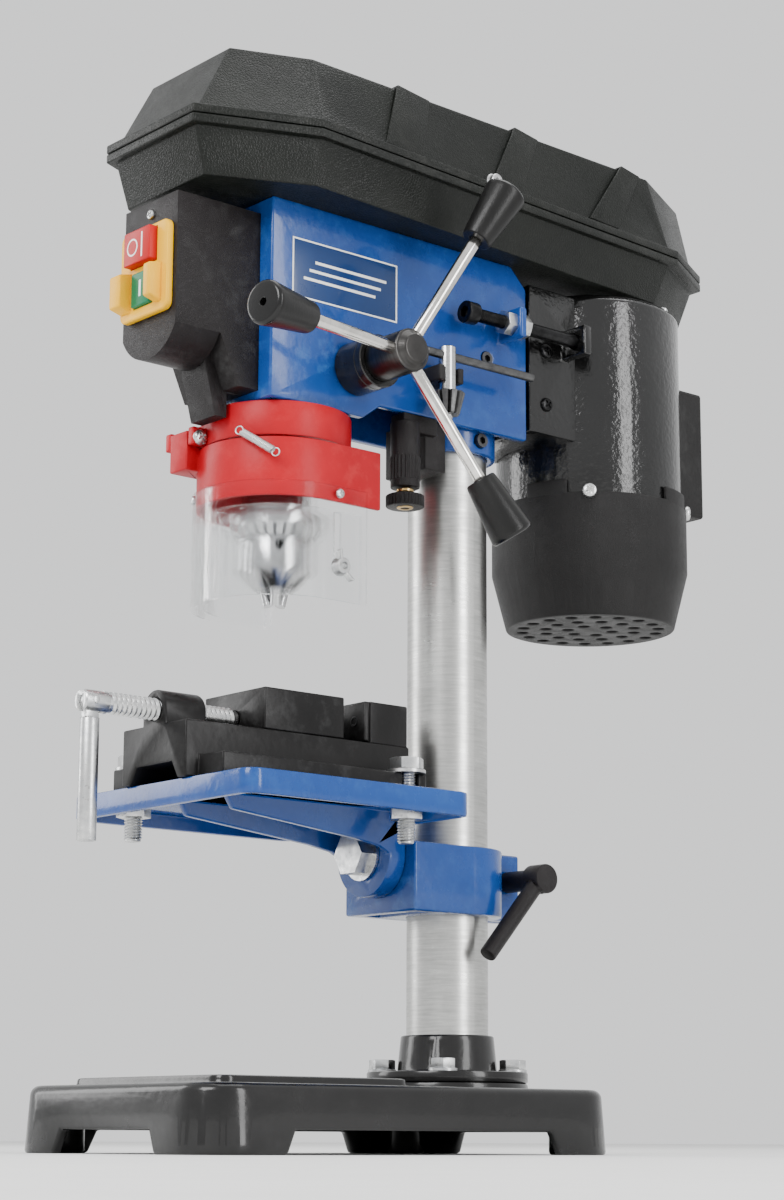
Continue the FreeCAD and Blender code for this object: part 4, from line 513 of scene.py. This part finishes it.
def wind(piece, pitch, turns, steps):
    winding = piece.modifiers.new("winding", "SCREW")
    winding.axis = "Z"
    winding.angle = math.tau
    winding.screw_offset = pitch
    winding.iterations = turns
    winding.steps = steps
    winding.render_steps = steps
    winding.use_merge_vertices = True
    winding.merge_threshold = 1e-6
    bakeModifiers(piece)
    return piece


def threadedRod(radius, depth, pitch, length, at, direction=(0, 0, 1), steps=32):
    # a helical tooth wound up a core that ends in a chamfer at both ends
    turns = max(1, int(length / pitch) - 1)
    foot = (length - turns * pitch - pitch) / 2
    root = radius - depth
    tooth = drawProfile([(root, foot), (radius - 0.1 * depth, foot + pitch * 0.36),
                         (radius, foot + pitch * 0.44), (radius - 0.1 * depth, foot + pitch * 0.54),
                         (root, foot + pitch * 0.92), (root, foot + pitch)], closed=False)
    wind(tooth, pitch, turns, steps)
    core = turnProfile([(0, 0), (root - 0.3 * mm, 0), (root + 0.02 * mm, 0.5 * mm),
                        (root + 0.02 * mm, length - 0.5 * mm), (root - 0.3 * mm, length), (0, length)],
                       (0, 0, 0), steps=steps)
    return placed(joinPieces([core, tooth]), at, direction)


def cutTeeth(piece, teeth, middle, slope, radius, depth):
    # V gaps cut all round a cone, along its slope
    inward = Vector((-slope.z, 0, slope.x))
    gapFrame = Matrix((inward.cross(slope), inward, slope)).transposed().to_4x4()
    gaps = []
    for k in range(teeth):
        pickNothing()
        bpy.ops.mesh.primitive_cylinder_add(vertices=3, radius=radius, depth=depth)
        gap = bpy.context.object
        gap.matrix_world = (Matrix.Rotation(math.tau * k / teeth, 4, "Z") @ Matrix.Translation(middle)
                            @ gapFrame)
        applyPlace(gap)
        gaps.append(gap)
    return cutAway(piece, joinPieces(gaps))


def ribbedRing(radius, depth, ribs, low, high, at):
    # a short cylinder whose wall is fluted all round
    pickNothing()
    bpy.ops.mesh.primitive_cylinder_add(vertices=ribs * 4, radius=radius, depth=high - low,
                                        location=(0, 0, (low + high) / 2))
    ring = bpy.context.object
    applyPlace(ring)
    for vertex in ring.data.vertices:
        share = math.atan2(vertex.co.y, vertex.co.x) / math.tau * ribs * 4
        if round(share) % 4 in (0, 1):
            vertex.co.x *= 1 - depth / radius
            vertex.co.y *= 1 - depth / radius
    roundEdges(ring, 0.25 * mm, 2, 60)
    ring.location = at
    applyPlace(ring)
    return ring


# bolts that hold the column flange down

flangeBolt = {"circle": 36.5 * mm, "deck": 44.5 * mm, "flats": 12.8 * mm, "height": 5.3 * mm, "washer": 8 * mm}
heads = []
for k in range(4):
    angle = math.radians(45 + 90 * k)
    seat = (flangeBolt["circle"] * math.cos(angle), place["columnY"] + flangeBolt["circle"] * math.sin(angle),
            flangeBolt["deck"])
    washer = turnProfile([(4 * mm, 0), (flangeBolt["washer"], 0), (flangeBolt["washer"], 1.3 * mm),
                          (flangeBolt["washer"] - 0.3 * mm, 1.6 * mm), (4 * mm, 1.6 * mm)], seat, closed=True)
    head = placed(hexHead(flangeBolt["flats"], flangeBolt["height"]), (seat[0], seat[1], seat[2] + 1.6 * mm),
                  roll=17 + 31 * k)
    shank = addRod(4 * mm, 20 * mm, (seat[0], seat[1], seat[2] - 18 * mm))
    heads += [washer, head, shank]
flangeBolts = finishPiece(joinPieces(heads), "flangeBolts", "frame", zincPlate)
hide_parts("flange_bolts")


# raised bands over the lid, its edge screw and the badge on the head

lidShape = {"rimFront": (66, -57), "rimRear": (46, 235), "topFront": (54, -56), "topRear": (48, 212),
            "rimZ": 544, "topZ": 589.5, "foot": 550.5}


def lidWall(y, share, raised):
    # half the lid's width at a Y and at a share of its height, in mm
    halves = []
    for front, rear in (("rimFront", "rimRear"), ("topFront", "topRear")):
        (wide, nearY), (narrow, farY) = lidShape[front], lidShape[rear]
        halves.append(wide + (narrow - wide) * (y - nearY) / (farY - nearY))
    rim, top = halves
    return rim + (top - rim) * share + raised


bands = []
for lowFront, lowRear, topFront, topRear in ((-10, 20, 5, 31), (75, 101, 97, 118), (159, 186, 188, 206)):
    pickNothing()
    bpy.ops.mesh.primitive_grid_add(x_subdivisions=3, y_subdivisions=1, size=1)
    band = bpy.context.object
    footShare = (lidShape["foot"] - lidShape["rimZ"]) / (lidShape["topZ"] - lidShape["rimZ"])
    for vertex in band.data.vertices:
        front = vertex.co.y < 0
        raised = 2.3 if front else 0.3
        column = round((vertex.co.x + 0.5) * 3)
        side = 1 if column > 1 else -1
        if column in (0, 3):
            y = lowFront if front else lowRear
            spot = (side * lidWall(y, footShare, raised * 0.5), y, lidShape["foot"])
        else:
            y = topFront if front else topRear
            spot = (side * lidWall(y, 1.0, raised * 0.8), y, lidShape["topZ"] + raised)
        vertex.co = [value * mm for value in spot]
    pickOnly(band)
    bpy.ops.object.mode_set(mode="EDIT")
    bpy.ops.mesh.select_all(action="SELECT")
    bpy.ops.mesh.normals_make_consistent(inside=False)
    bpy.ops.object.mode_set(mode="OBJECT")
    shell = band.modifiers.new("shell", "SOLIDIFY")
    shell.thickness = 2.6 * mm
    shell.offset = -1
    bakeModifiers(band)
    roundEdges(band, 1.3 * mm, 3, 25)
    bands.append(band)
finishPiece(joinPieces(bands), "lidBands", "lid", coverPlastic)

lidScrew = joinPieces([
    placed(socketHead(4 * mm, 4.2 * mm, 3 * mm), (0.0605, 0.072, 0.5485), (1, 0, 0)),
    placed(turnProfile([(0, 0), (4.8 * mm, 0), (4.8 * mm, 0.9 * mm), (4.4 * mm, 1.2 * mm), (0, 1.2 * mm)],
                       (0, 0, 0)), (0.0597, 0.072, 0.5485), (1, 0, 0)),
    addRod(2 * mm, 8 * mm, (0.053, 0.072, 0.5485), (1, 0, 0))])
finishPiece(lidScrew, "lidScrew", "lid", zincPlate)
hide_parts("lid_screw")

badge = {"front": -0.054, "rear": 0.021, "low": 0.4585, "high": 0.4925, "line": 0.9 * mm}
plate = addBlock((0.0344, badge["front"], badge["low"]), (0.0352, badge["rear"], badge["high"]))
roundEdges(plate, 0.15 * mm)
finishPiece(plate, "badgePlate", "frame", badgeBlue)
pickNothing()
bpy.ops.mesh.primitive_plane_add(size=1)
border = bpy.context.object
border.scale = (badge["rear"] - badge["front"], badge["high"] - badge["low"], 1)
applyPlace(border)
bpy.ops.object.mode_set(mode="EDIT")
bpy.ops.mesh.select_all(action="SELECT")
bpy.ops.mesh.inset(thickness=badge["line"])
bpy.ops.mesh.delete(type="FACE")
bpy.ops.object.mode_set(mode="OBJECT")
printed = border.modifiers.new("printed", "SOLIDIFY")
printed.thickness = 0.2 * mm
printed.offset = 0
bakeModifiers(border)
border.matrix_world = Matrix(((0, 0, 1, 0.0353), (1, 0, 0, (badge["front"] + badge["rear"]) / 2),
                              (0, 1, 0, (badge["low"] + badge["high"]) / 2), (0, 0, 0, 1)))
applyPlace(border)
strokes = [border]
for k in range(3):
    middleZ = 0.4755 + 5.2 * mm * (k - 1)
    stroke = addBlock((0.0352, -0.046 + 4 * mm * k, middleZ - 0.8 * mm),
                      (0.0354, 0.005 + 4 * mm * k, middleZ + 0.8 * mm))
    roundEdges(stroke, 0.05 * mm)
    strokes.append(stroke)
finishPiece(joinPieces(strokes), "badgePrint", "frame", whitePrint)


# switch: surround, two buttons with their marks, a painted highlight stripe on the stop button, panel screw

surroundSizes = {"half": 22 * mm, "low": 439 * mm, "high": 489.5 * mm, "front": -128 * mm, "rear": -123.7 * mm,
                 "corner": 4.5 * mm, "skirtFront": -136 * mm, "skirtLow": 443.5 * mm, "skirtHigh": 466 * mm,
                 "stopHalf": 12.4 * mm, "startHalf": 8.9 * mm}
surround = addBlock((-surroundSizes["half"], surroundSizes["front"], surroundSizes["low"]),
                    (surroundSizes["half"], surroundSizes["rear"], surroundSizes["high"]))
pickOnly(surround)
bpy.ops.object.mode_set(mode="EDIT")
plateMesh = bmesh.from_edit_mesh(surround.data)
for edge in plateMesh.edges:
    edge.select = abs(edge.verts[0].co.y - edge.verts[1].co.y) > 1 * mm
bmesh.update_edit_mesh(surround.data)
bpy.ops.mesh.bevel(offset=surroundSizes["corner"], segments=6, affect="EDGES")
bpy.ops.object.mode_set(mode="OBJECT")
roundEdges(surround, 1.1 * mm, 3, 40)
skirts = []
for low, high in ((-surroundSizes["half"] + 1.2 * mm, -surroundSizes["startHalf"] - 2 * mm),
                  (surroundSizes["startHalf"] + 2 * mm, surroundSizes["half"] - 5 * mm)):
    skirt = addBlock((low, surroundSizes["skirtFront"], surroundSizes["skirtLow"]),
                     (high, surroundSizes["front"] + 1 * mm, surroundSizes["skirtHigh"]))
    bpy.ops.object.mode_set(mode="EDIT")
    corners = bmesh.from_edit_mesh(skirt.data)
    for vertex in corners.verts:
        if vertex.co.y < surroundSizes["front"] - 4 * mm:
            low = vertex.co.z < surroundSizes["skirtLow"] + 4 * mm
            vertex.co.z += 2.5 * mm if low else -2.0 * mm
    bmesh.update_edit_mesh(skirt.data)
    bpy.ops.object.mode_set(mode="OBJECT")
    roundEdges(skirt, 1.0 * mm, 3, 30)
    skirts.append(skirt)
for half, low, high in ((surroundSizes["stopHalf"], 467.6 * mm, 487.4 * mm),
                        (surroundSizes["startHalf"], 444.6 * mm, 464.4 * mm)):
    surround = cutAway(surround, addBlock((-half, -0.14, low), (half, -0.11, high)))
surround = joinPieces([surround] + skirts)
finishPiece(surround, "switchSurround", "frame", yellowPlastic)
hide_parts("switch_surround")
softenNode("stop_button", 0.8 * mm, "stop_push", redButton, segments=3)
softenNode("start_button", 0.8 * mm, "start_push", greenButton, segments=3)
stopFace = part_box("stop_button")[0].y
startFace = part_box("start_button")[0].y
stopRing = placed(turnProfile([(4.0 * mm, -0.1 * mm), (4.9 * mm, -0.1 * mm), (4.9 * mm, 0.1 * mm),
                               (4.0 * mm, 0.1 * mm)], (0, 0, 0), closed=True),
                  (-3.6 * mm, stopFace, 0.4775), (0, -1, 0))
# white stripe on the stop button's face: a painted highlight where a ridge on the face catches the light
stopHighlightStripe = addBlock((4.6 * mm, stopFace - 0.1 * mm, 0.4705), (5.7 * mm, stopFace + 0.1 * mm, 0.4845))
# the ring is printed, the stripe beside it is a painted highlight
finishPiece(joinPieces([stopRing, stopHighlightStripe]), "stopMark", "stop_push", whitePrint)
startBar = addBlock((-0.9 * mm, startFace - 0.1 * mm, 0.4500), (0.9 * mm, startFace + 0.1 * mm, 0.4592))
roundEdges(startBar, 0.05 * mm)
finishPiece(startBar, "startMark", "start_push", whitePrint)
panelScrew = placed(crossHead(2.8 * mm, 1.8 * mm), (0, -0.1237, 0.4975), (0, -1, 0), roll=20)
finishPiece(panelScrew, "panelScrew", "frame", zincPlate)


# feed: hub, spokes and knobs, depth collar

softenNode("feed_shaft", 0.7 * mm, "feed", hubSteel, segments=3)
softenNode("feed_spokes", 0.4 * mm, "feed", spokeChrome)
knob = {"hubX": 78 * mm, "seat": 80 * mm, "lean": 11, "turn": 61}
grips = []
caps = []
for k in range(3):
    angle = math.radians(knob["turn"] + 120 * k)
    lean = math.radians(knob["lean"])
    along = Vector((math.sin(lean), math.cos(lean) * math.cos(angle), math.cos(lean) * math.sin(angle)))
    start = Vector((knob["hubX"], place["feedY"], place["feedZ"])) + along * knob["seat"]
    grip = turnProfile([(0, 0.4 * mm), (4.2 * mm, 0.4 * mm), (4.6 * mm, 0), (7.5 * mm, 0), (8.3 * mm, 0.5 * mm),
                        (8.7 * mm, 1.6 * mm), (11.8 * mm, 32.0 * mm), (12.0 * mm, 33.2 * mm),
                        (11.9 * mm, 34.2 * mm)], (0, 0, 0), steps=72)
    cap = turnProfile([(11.9 * mm, 34.2 * mm), (11.5 * mm, 35.1 * mm), (10.7 * mm, 35.8 * mm),
                       (9.6 * mm, 36.0 * mm), (2.5 * mm, 36.0 * mm), (2.1 * mm, 35.7 * mm),
                       (2.0 * mm, 32.0 * mm), (0, 32.0 * mm)], (0, 0, 0), steps=72)
    grips.append(placed(grip, start, along))
    caps.append(placed(cap, start, along))
knobGrips = finishPiece(joinPieces(grips), "knobGrips", "feed", knobPlastic)
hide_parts("feed_knobs")
finishPiece(joinPieces(caps), "knobCaps", "feed", knobCap)

collar = {"start": 35.4 * mm, "length": 22.2 * mm, "bore": 9.05 * mm, "radius": 15 * mm, "seam": 5.4 * mm}
seam = collar["length"] - collar["seam"]
depthCollar = turnProfile([
    (collar["bore"], 0), (collar["radius"] - 0.5 * mm, 0), (collar["radius"], 0.5 * mm),
    (collar["radius"], seam),
    (collar["radius"] - 0.3 * mm, seam + 0.2 * mm), (collar["radius"] - 0.3 * mm, seam + 0.5 * mm),
    (collar["radius"], seam + 0.7 * mm), (collar["radius"], collar["length"] - 0.6 * mm),
    (collar["radius"] - 0.6 * mm, collar["length"]), (collar["bore"], collar["length"])],
    (collar["start"], place["feedY"], place["feedZ"]), (1, 0, 0), 80, True)
finishPiece(depthCollar, "depthCollar", "stop_collar", blackEnamel)
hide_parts("depth_collar")


# belt tension bolt and its two nuts, screws of the motor bracket and fan cover

tension = {"x": 0.046, "z": 0.472, "shank": 0.0705, "end": 0.156}
tensionBolt = joinPieces([
    placed(socketHead(6.5 * mm, 8 * mm, 6 * mm), (tension["x"], tension["shank"], tension["z"]), (0, -1, 0)),
    threadedRod(3.95 * mm, 0.6 * mm, 1.25 * mm, tension["end"] - tension["shank"],
                (tension["x"], tension["shank"], tension["z"]), (0, 1, 0)),
    addRod(3.93 * mm, 40 * mm, (tension["x"], 0.1105, tension["z"]), (0, 1, 0))])
finishPiece(tensionBolt, "tensionBolt", "motor", blackOxide)
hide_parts("tension_bolt")
nuts = [placed(hexHead(13 * mm, 6.5 * mm, bore=4.0 * mm), (tension["x"], y, tension["z"]), side, roll)
        for y, side, roll in ((0.0985, (0, -1, 0), 8), (0.1035, (0, 1, 0), 22))]
tensionNuts = finishPiece(joinPieces(nuts), "tensionNuts", "adjusting_nuts", zincPlate)
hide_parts("tension_nuts")
bracketScrews = [placed(crossHead(4.2 * mm, 2.4 * mm), (0.035, 0.137, z), (1, 0, 0), roll=turn)
                 for z, turn in ((0.466, 12), (0.433, 40))]
finishPiece(joinPieces(bracketScrews), "bracketScrews", "motor", blackOxide)

fan = {"radius": 59.6 * mm, "inner": 56.8 * mm, "top": 384 * mm, "tab": 392 * mm}
tabs = []
fanScrews = []
for angle in (-44, 46, 136, 226):
    tab = turnProfile([(fan["inner"], fan["top"] - 2 * mm), (fan["radius"], fan["top"] - 2 * mm),
                       (fan["radius"], fan["tab"]), (fan["inner"], fan["tab"])], (0, 0, 0), steps=10,
                      closed=True, sweep=26)
    tab.rotation_euler[2] = math.radians(angle - 13)
    tab.location = (0, place["motorY"], 0)
    applyPlace(tab)
    roundEdges(tab, 0.9 * mm, 3, 50)
    tabs.append(tab)
    out = Vector((math.cos(math.radians(angle)), math.sin(math.radians(angle)), 0))
    spot = Vector((0, place["motorY"], 0.384)) + out * fan["radius"]
    fanScrews.append(placed(crossHead(4.4 * mm, 2.6 * mm), spot, out, roll=30))
finishPiece(joinPieces(tabs), "fanCoverTabs", "motor", fanPlastic)
finishPiece(joinPieces(fanScrews), "fanCoverScrews", "motor", zincPlate)
motorTop = {"circle": 48 * mm, "z": 0.5075}
topBolts = []
for angle in (30, 120, 210):
    spot = (motorTop["circle"] * math.cos(math.radians(angle)),
            place["motorY"] + motorTop["circle"] * math.sin(math.radians(angle)), motorTop["z"])
    topBolts.append(placed(hexHead(7 * mm, 3.6 * mm), spot, roll=angle))
finishPiece(joinPieces(topBolts), "motorTopBolts", "motor", zincPlate)


# chuck: body, toothed sleeve; key with its toothed gear

softenNode("chuck_body", 0.2 * mm, "spindle_unit", chuckSteel, clamp=True)
sleeve = {"foot": 328.6 * mm, "top": 342 * mm, "outer": 25.3 * mm, "inner": 19.1 * mm, "nose": 21.8 * mm,
          "shoulder": 335.2 * mm, "teeth": 28}
toothed = turnProfile([(sleeve["inner"], sleeve["foot"]), (sleeve["nose"], sleeve["foot"]),
                       (sleeve["outer"], sleeve["shoulder"]), (sleeve["outer"], sleeve["top"] - 0.8 * mm),
                       (sleeve["outer"] - 0.8 * mm, sleeve["top"]), (sleeve["inner"], sleeve["top"])],
                      (0, 0, 0), steps=112, closed=True)
slope = Vector((sleeve["outer"] - sleeve["nose"], 0, sleeve["shoulder"] - sleeve["foot"])).normalized()
toothed = cutTeeth(toothed, sleeve["teeth"], Vector((sleeve["nose"] + 0.2 * mm, 0, sleeve["foot"] - 0.4 * mm)),
                   slope, 2.0 * mm, 13 * mm)
toothed.location = (0, place["spindleY"], 0)
finishPiece(toothed, "chuckSleeve", "sleeve", chuckSteel, smooth=24)
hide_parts("chuck_sleeve")

key = {"x": 0.050, "y": 0.046, "bar": 0.441, "gearFoot": 0.4062, "gearTop": 0.419, "teeth": 11}
keyBar = turnProfile([(0, 0), (1.9 * mm, 0), (2.5 * mm, 0.6 * mm), (2.5 * mm, 81.4 * mm), (1.9 * mm, 82 * mm),
                      (0, 82 * mm)], (key["x"], key["y"] - 16 * mm, key["bar"]), (0, 1, 0), 32)
finishPiece(keyBar, "keyBar", "key", darkSteel)
keyShaft = turnProfile([(0, 0.4005), (2.6 * mm, 0.4005), (3.0 * mm, 0.401), (3.0 * mm, key["gearFoot"]),
                        (4.9 * mm, key["gearTop"]), (4.9 * mm, 0.4455), (4.4 * mm, 0.446), (0, 0.446)],
                       (key["x"], key["y"], 0), steps=48)
finishPiece(keyShaft, "keyShaft", "key", turnedSteel)
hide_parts("chuck_key")
gear = turnProfile([(2 * mm, key["gearFoot"]), (6.6 * mm, key["gearFoot"]),
                    (7.0 * mm, key["gearFoot"] + 0.5 * mm), (10 * mm, key["gearTop"] - 0.6 * mm),
                    (9.6 * mm, key["gearTop"]), (2 * mm, key["gearTop"])], (0, 0, 0), steps=88, closed=True)
slope = Vector((3.0 * mm, 0, key["gearTop"] - key["gearFoot"])).normalized()
gear = cutTeeth(gear, key["teeth"], Vector((8.9 * mm, 0, (key["gearTop"] + key["gearFoot"]) / 2)), slope,
                2.3 * mm, 20 * mm)
gear.location = (key["x"], key["y"], 0)
finishPiece(gear, "keyGear", "key", darkSteel, smooth=24)


# chuck guard: pivot screw, panel screws, wound spring, wing nut, ring on the quill

pivot = joinPieces([placed(crossHead(4.3 * mm, 2.6 * mm), (-0.012, -0.080, 0.383), (1, 0, 0), roll=35),
                    addRod(2.5 * mm, 28 * mm, (-0.040, -0.080, 0.383), (1, 0, 0))])
finishPiece(pivot, "guardPivot", "quill_unit", zincPlate)
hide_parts("guard_pin")
shieldScrews = []
for out, spot in ((Vector((-0.41, -0.91, 0)), Vector((0, place["spindleY"], 0.349))),
                  (Vector((1, 0, 0)), Vector((0, -0.028, 0.349)))):
    out.normalize()
    shieldScrews.append(placed(crossHead(2.6 * mm, 1.6 * mm), spot + out * 46.2 * mm, out, roll=15))
finishPiece(joinPieces(shieldScrews), "shieldScrews", "guard", zincPlate)

spring = {"low": Vector((42.4, -66.9, 365.0)) * mm, "high": Vector((19.6, -78.8, 381.8)) * mm,
          "radius": 2.0 * mm, "wire": 0.42 * mm}
axis = (spring["high"] - spring["low"]).normalized()
span = (spring["high"] - spring["low"]).length
coilLength = span - 9 * mm
pickNothing()
bpy.ops.mesh.primitive_circle_add(vertices=8, radius=spring["wire"], fill_type="NOTHING",
                                  rotation=(math.pi / 2, 0, 0), location=(spring["radius"], 0, 0))
coil = bpy.context.object
applyPlace(coil)
wind(coil, spring["wire"] * 2.06, int(coilLength / (spring["wire"] * 2.06)), 24)
placed(coil, spring["low"] + axis * 4.5 * mm, axis)
hooks = [coil]
for spot in (spring["low"] + axis * 2.4 * mm, spring["high"] - axis * 2.4 * mm):
    pickNothing()
    bpy.ops.mesh.primitive_torus_add(major_radius=2.2 * mm, minor_radius=0.40 * mm, major_segments=36,
                                     minor_segments=8)
    hook = bpy.context.object
    hooks.append(placed(hook, spot, axis.cross(Vector((0, 0, 1)))))
woundSpring = finishPiece(joinPieces(hooks), "guardSpring", "quill_unit", zincPlate, smooth=60)
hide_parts("guard_spring")

hub = turnProfile([(2.1 * mm, 0), (5.0 * mm, 0), (5.2 * mm, 0.8 * mm), (4.4 * mm, 5 * mm),
                   (3.8 * mm, 5.6 * mm), (2.1 * mm, 5.6 * mm)], (0, 0, 0), closed=True, steps=40)
wings = [hub]
for side in (-1, 1):
    wing = addBlock((-1.0 * mm, 3.4 * mm, 1.2 * mm), (1.0 * mm, 9.2 * mm, 8.6 * mm))
    bpy.ops.object.mode_set(mode="EDIT")
    outer = bmesh.from_edit_mesh(wing.data)
    for vertex in outer.verts:
        if vertex.co.z < 3 * mm and vertex.co.y > 6 * mm:
            vertex.co.z += 2.6 * mm
        if vertex.co.z > 6 * mm and vertex.co.y < 6 * mm:
            vertex.co.z -= 3.2 * mm
    bmesh.update_edit_mesh(wing.data)
    bpy.ops.object.mode_set(mode="OBJECT")
    roundEdges(wing, 0.85 * mm, 3, 30)
    wing.rotation_euler[2] = 0 if side > 0 else math.pi
    applyPlace(wing)
    wings.append(wing)
wingNut = placed(joinPieces(wings), (0.0466, -0.029, 0.308), (1, 0, 0), roll=28)
finishPiece(wingNut, "wingNut", "panel_nut", zincPlate)
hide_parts("wing_nut")
quillRing = turnProfile([(20.1 * mm, 398.5 * mm), (35.5 * mm, 398.5 * mm), (36 * mm, 398.7 * mm),
                         (36 * mm, 399.0 * mm), (20.1 * mm, 399.1 * mm)], (0, place["spindleY"], 0),
                        closed=True, steps=96)
finishPiece(quillRing, "quillRing", "quill_unit", blackEnamel)


# laser: fluted grip, brass neck, fluted focus ring

laser = {"x": 0.030, "y": 0.032}
laserAxis = (laser["x"], laser["y"], 0)
laserGrip = ribbedRing(8.75 * mm, 0.5 * mm, 24, 369.5 * mm, 383 * mm, laserAxis)
finishPiece(laserGrip, "laserGrip", "frame", boxPlastic, smooth=24)
laserRing = ribbedRing(10.9 * mm, 0.7 * mm, 30, 354.4 * mm, 360.6 * mm, laserAxis)
finishPiece(laserRing, "laserRing", "laser_ring", boxPlastic, smooth=24)
brassParts = [turnProfile([(0, 361 * mm), (4.1 * mm, 361 * mm), (4.1 * mm, 362 * mm), (4.9 * mm, 363 * mm),
                           (4.9 * mm, 364.2 * mm), (0, 364.4 * mm)], laserAxis, steps=40),
              turnProfile([(2.6 * mm, 353.6 * mm), (4.4 * mm, 353.6 * mm), (4.8 * mm, 354.2 * mm),
                           (2.6 * mm, 354.2 * mm)], laserAxis, closed=True, steps=40)]
finishPiece(joinPieces(brassParts), "laserBrass", "laser_ring", turnedBrass)


# vice: threaded screw with its fork, handle, jaw screws, clamping bolts

vice = {"z": 0.227, "front": -0.160, "pivot": -0.154, "threadStart": -0.145, "jawRear": -0.0625}
fork = turnProfile([(0, 0), (5.2 * mm, 0), (6 * mm, 0.8 * mm), (6 * mm, 14.6 * mm), (5.0 * mm, 15.4 * mm),
                    (0, 15.4 * mm)], (0, vice["front"], vice["z"]), (0, 1, 0), 56)
fork = cutAway(fork, addBlock((-2.7 * mm, vice["front"] - 1 * mm, vice["z"] - 10 * mm),
                              (2.7 * mm, vice["pivot"] + 7 * mm, vice["z"] + 10 * mm)))
roundEdges(fork, 0.3 * mm, 2, 30)
rivet = turnProfile([(0, 0), (1.6 * mm, 0), (2.0 * mm, 0.3 * mm), (2.0 * mm, 12.1 * mm), (1.6 * mm, 12.4 * mm),
                     (0, 12.4 * mm)], (-6.2 * mm, vice["pivot"], vice["z"]), (1, 0, 0), 32)
thread = threadedRod(6.0 * mm, 1.05 * mm, 3.0 * mm, vice["jawRear"] - vice["threadStart"],
                     (0, vice["threadStart"], vice["z"]), (0, 1, 0), 48)
viceScrew = joinPieces([fork, rivet, thread])
finishPiece(viceScrew, "viceScrew", "screw", zincPlate)
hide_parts("vice_screw")
softenNode("vice_handle", 0.5 * mm, "handle", zincPlate)
jawScrews = [placed(socketHead(3.3 * mm, 1.0 * mm, 3.2 * mm), (x, 0.0078, 0.2315), (0, -1, 0), roll=10)
             for x in (-0.017, 0.017)]
finishPiece(joinPieces(jawScrews), "jawScrews", "table_unit", blackOxide)

clampBolts = []
for x, y, roll in ((-0.046, -0.094, 12), (0.046, 0.020, 34)):
    clampBolts += [
        turnProfile([(5 * mm, 0), (10.5 * mm, 0), (10.5 * mm, 1.6 * mm), (10.1 * mm, 2 * mm),
                     (5 * mm, 2 * mm)], (x, y, 0.2010), closed=True),
        placed(hexHead(16.4 * mm, 6.4 * mm), (x, y, 0.2030), roll=roll),
        placed(hexHead(16.4 * mm, 8.0 * mm), (x, y, 0.1760), roll=roll + 20),
        threadedRod(5.0 * mm, 0.75 * mm, 1.5 * mm, 40 * mm, (x, y, 0.163))]
viceBolts = finishPiece(joinPieces(clampBolts), "viceBolts", "table_unit", zincPlate)
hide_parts("vice_bolts")
print("detail pieces made")


# floor, light and camera

def addLight(name, at, target, size, power):
    data = bpy.data.lights.new(name, "AREA")
    data.shape = "RECTANGLE"
    data.size, data.size_y = size
    data.energy = power
    lamp = bpy.data.objects.new(name, data)
    lamp.location = at
    lamp.rotation_euler = (Vector(target) - Vector(at)).to_track_quat("-Z", "Y").to_euler()
    bpy.context.scene.collection.objects.link(lamp)


pickNothing()
bpy.ops.mesh.primitive_plane_add(size=14, location=(0, 0, 0))
floor = bpy.context.object
floor.name = "floor"
paleFloor = paintMaterial("paleFloor", (0.80, 0.80, 0.79), (0.84, 0.84, 0.83), 0.6, 12, 0.0005)
floor.data.materials.append(paleFloor)

world = bpy.data.worlds.new("studio")
bpy.context.scene.world = world
world.use_nodes = True
background = world.node_tree.nodes["Background"]
background.inputs["Color"].default_value = (0.96, 0.965, 0.97, 1)
background.inputs["Strength"].default_value = 1.15

addLight("keyLight", (0.6, -1.9, 1.5), (0, 0, 0.35), (1.0, 1.0), 42)
addLight("sideLight", (2.0, 0.3, 0.8), (0, 0.05, 0.35), (0.5, 1.6), 26)
addLight("leftLight", (-1.6, -1.0, 0.9), (0, 0, 0.3), (0.6, 1.4), 16)
addLight("topLight", (0.1, 0.3, 2.2), (0, 0, 0.3), (1.4, 1.4), 18)

cameraData = bpy.data.cameras.new("camera")
cameraData.sensor_width = 36
cameraData.lens = 76.43
cameraData.clip_start = 0.01
camera = bpy.data.objects.new("camera", cameraData)
bpy.context.scene.collection.objects.link(camera)
yaw, pitch, roll = 0.869457, 0.20921, 0.0044547
camera.matrix_world = (Matrix.Translation((1.08391, -0.86732, 0.007)) @ Matrix.Rotation(yaw, 4, "Z")
                       @ Matrix.Rotation(math.pi / 2 + pitch, 4, "X") @ Matrix.Rotation(roll, 4, "Z"))
bpy.context.scene.camera = camera

print("scene ready")
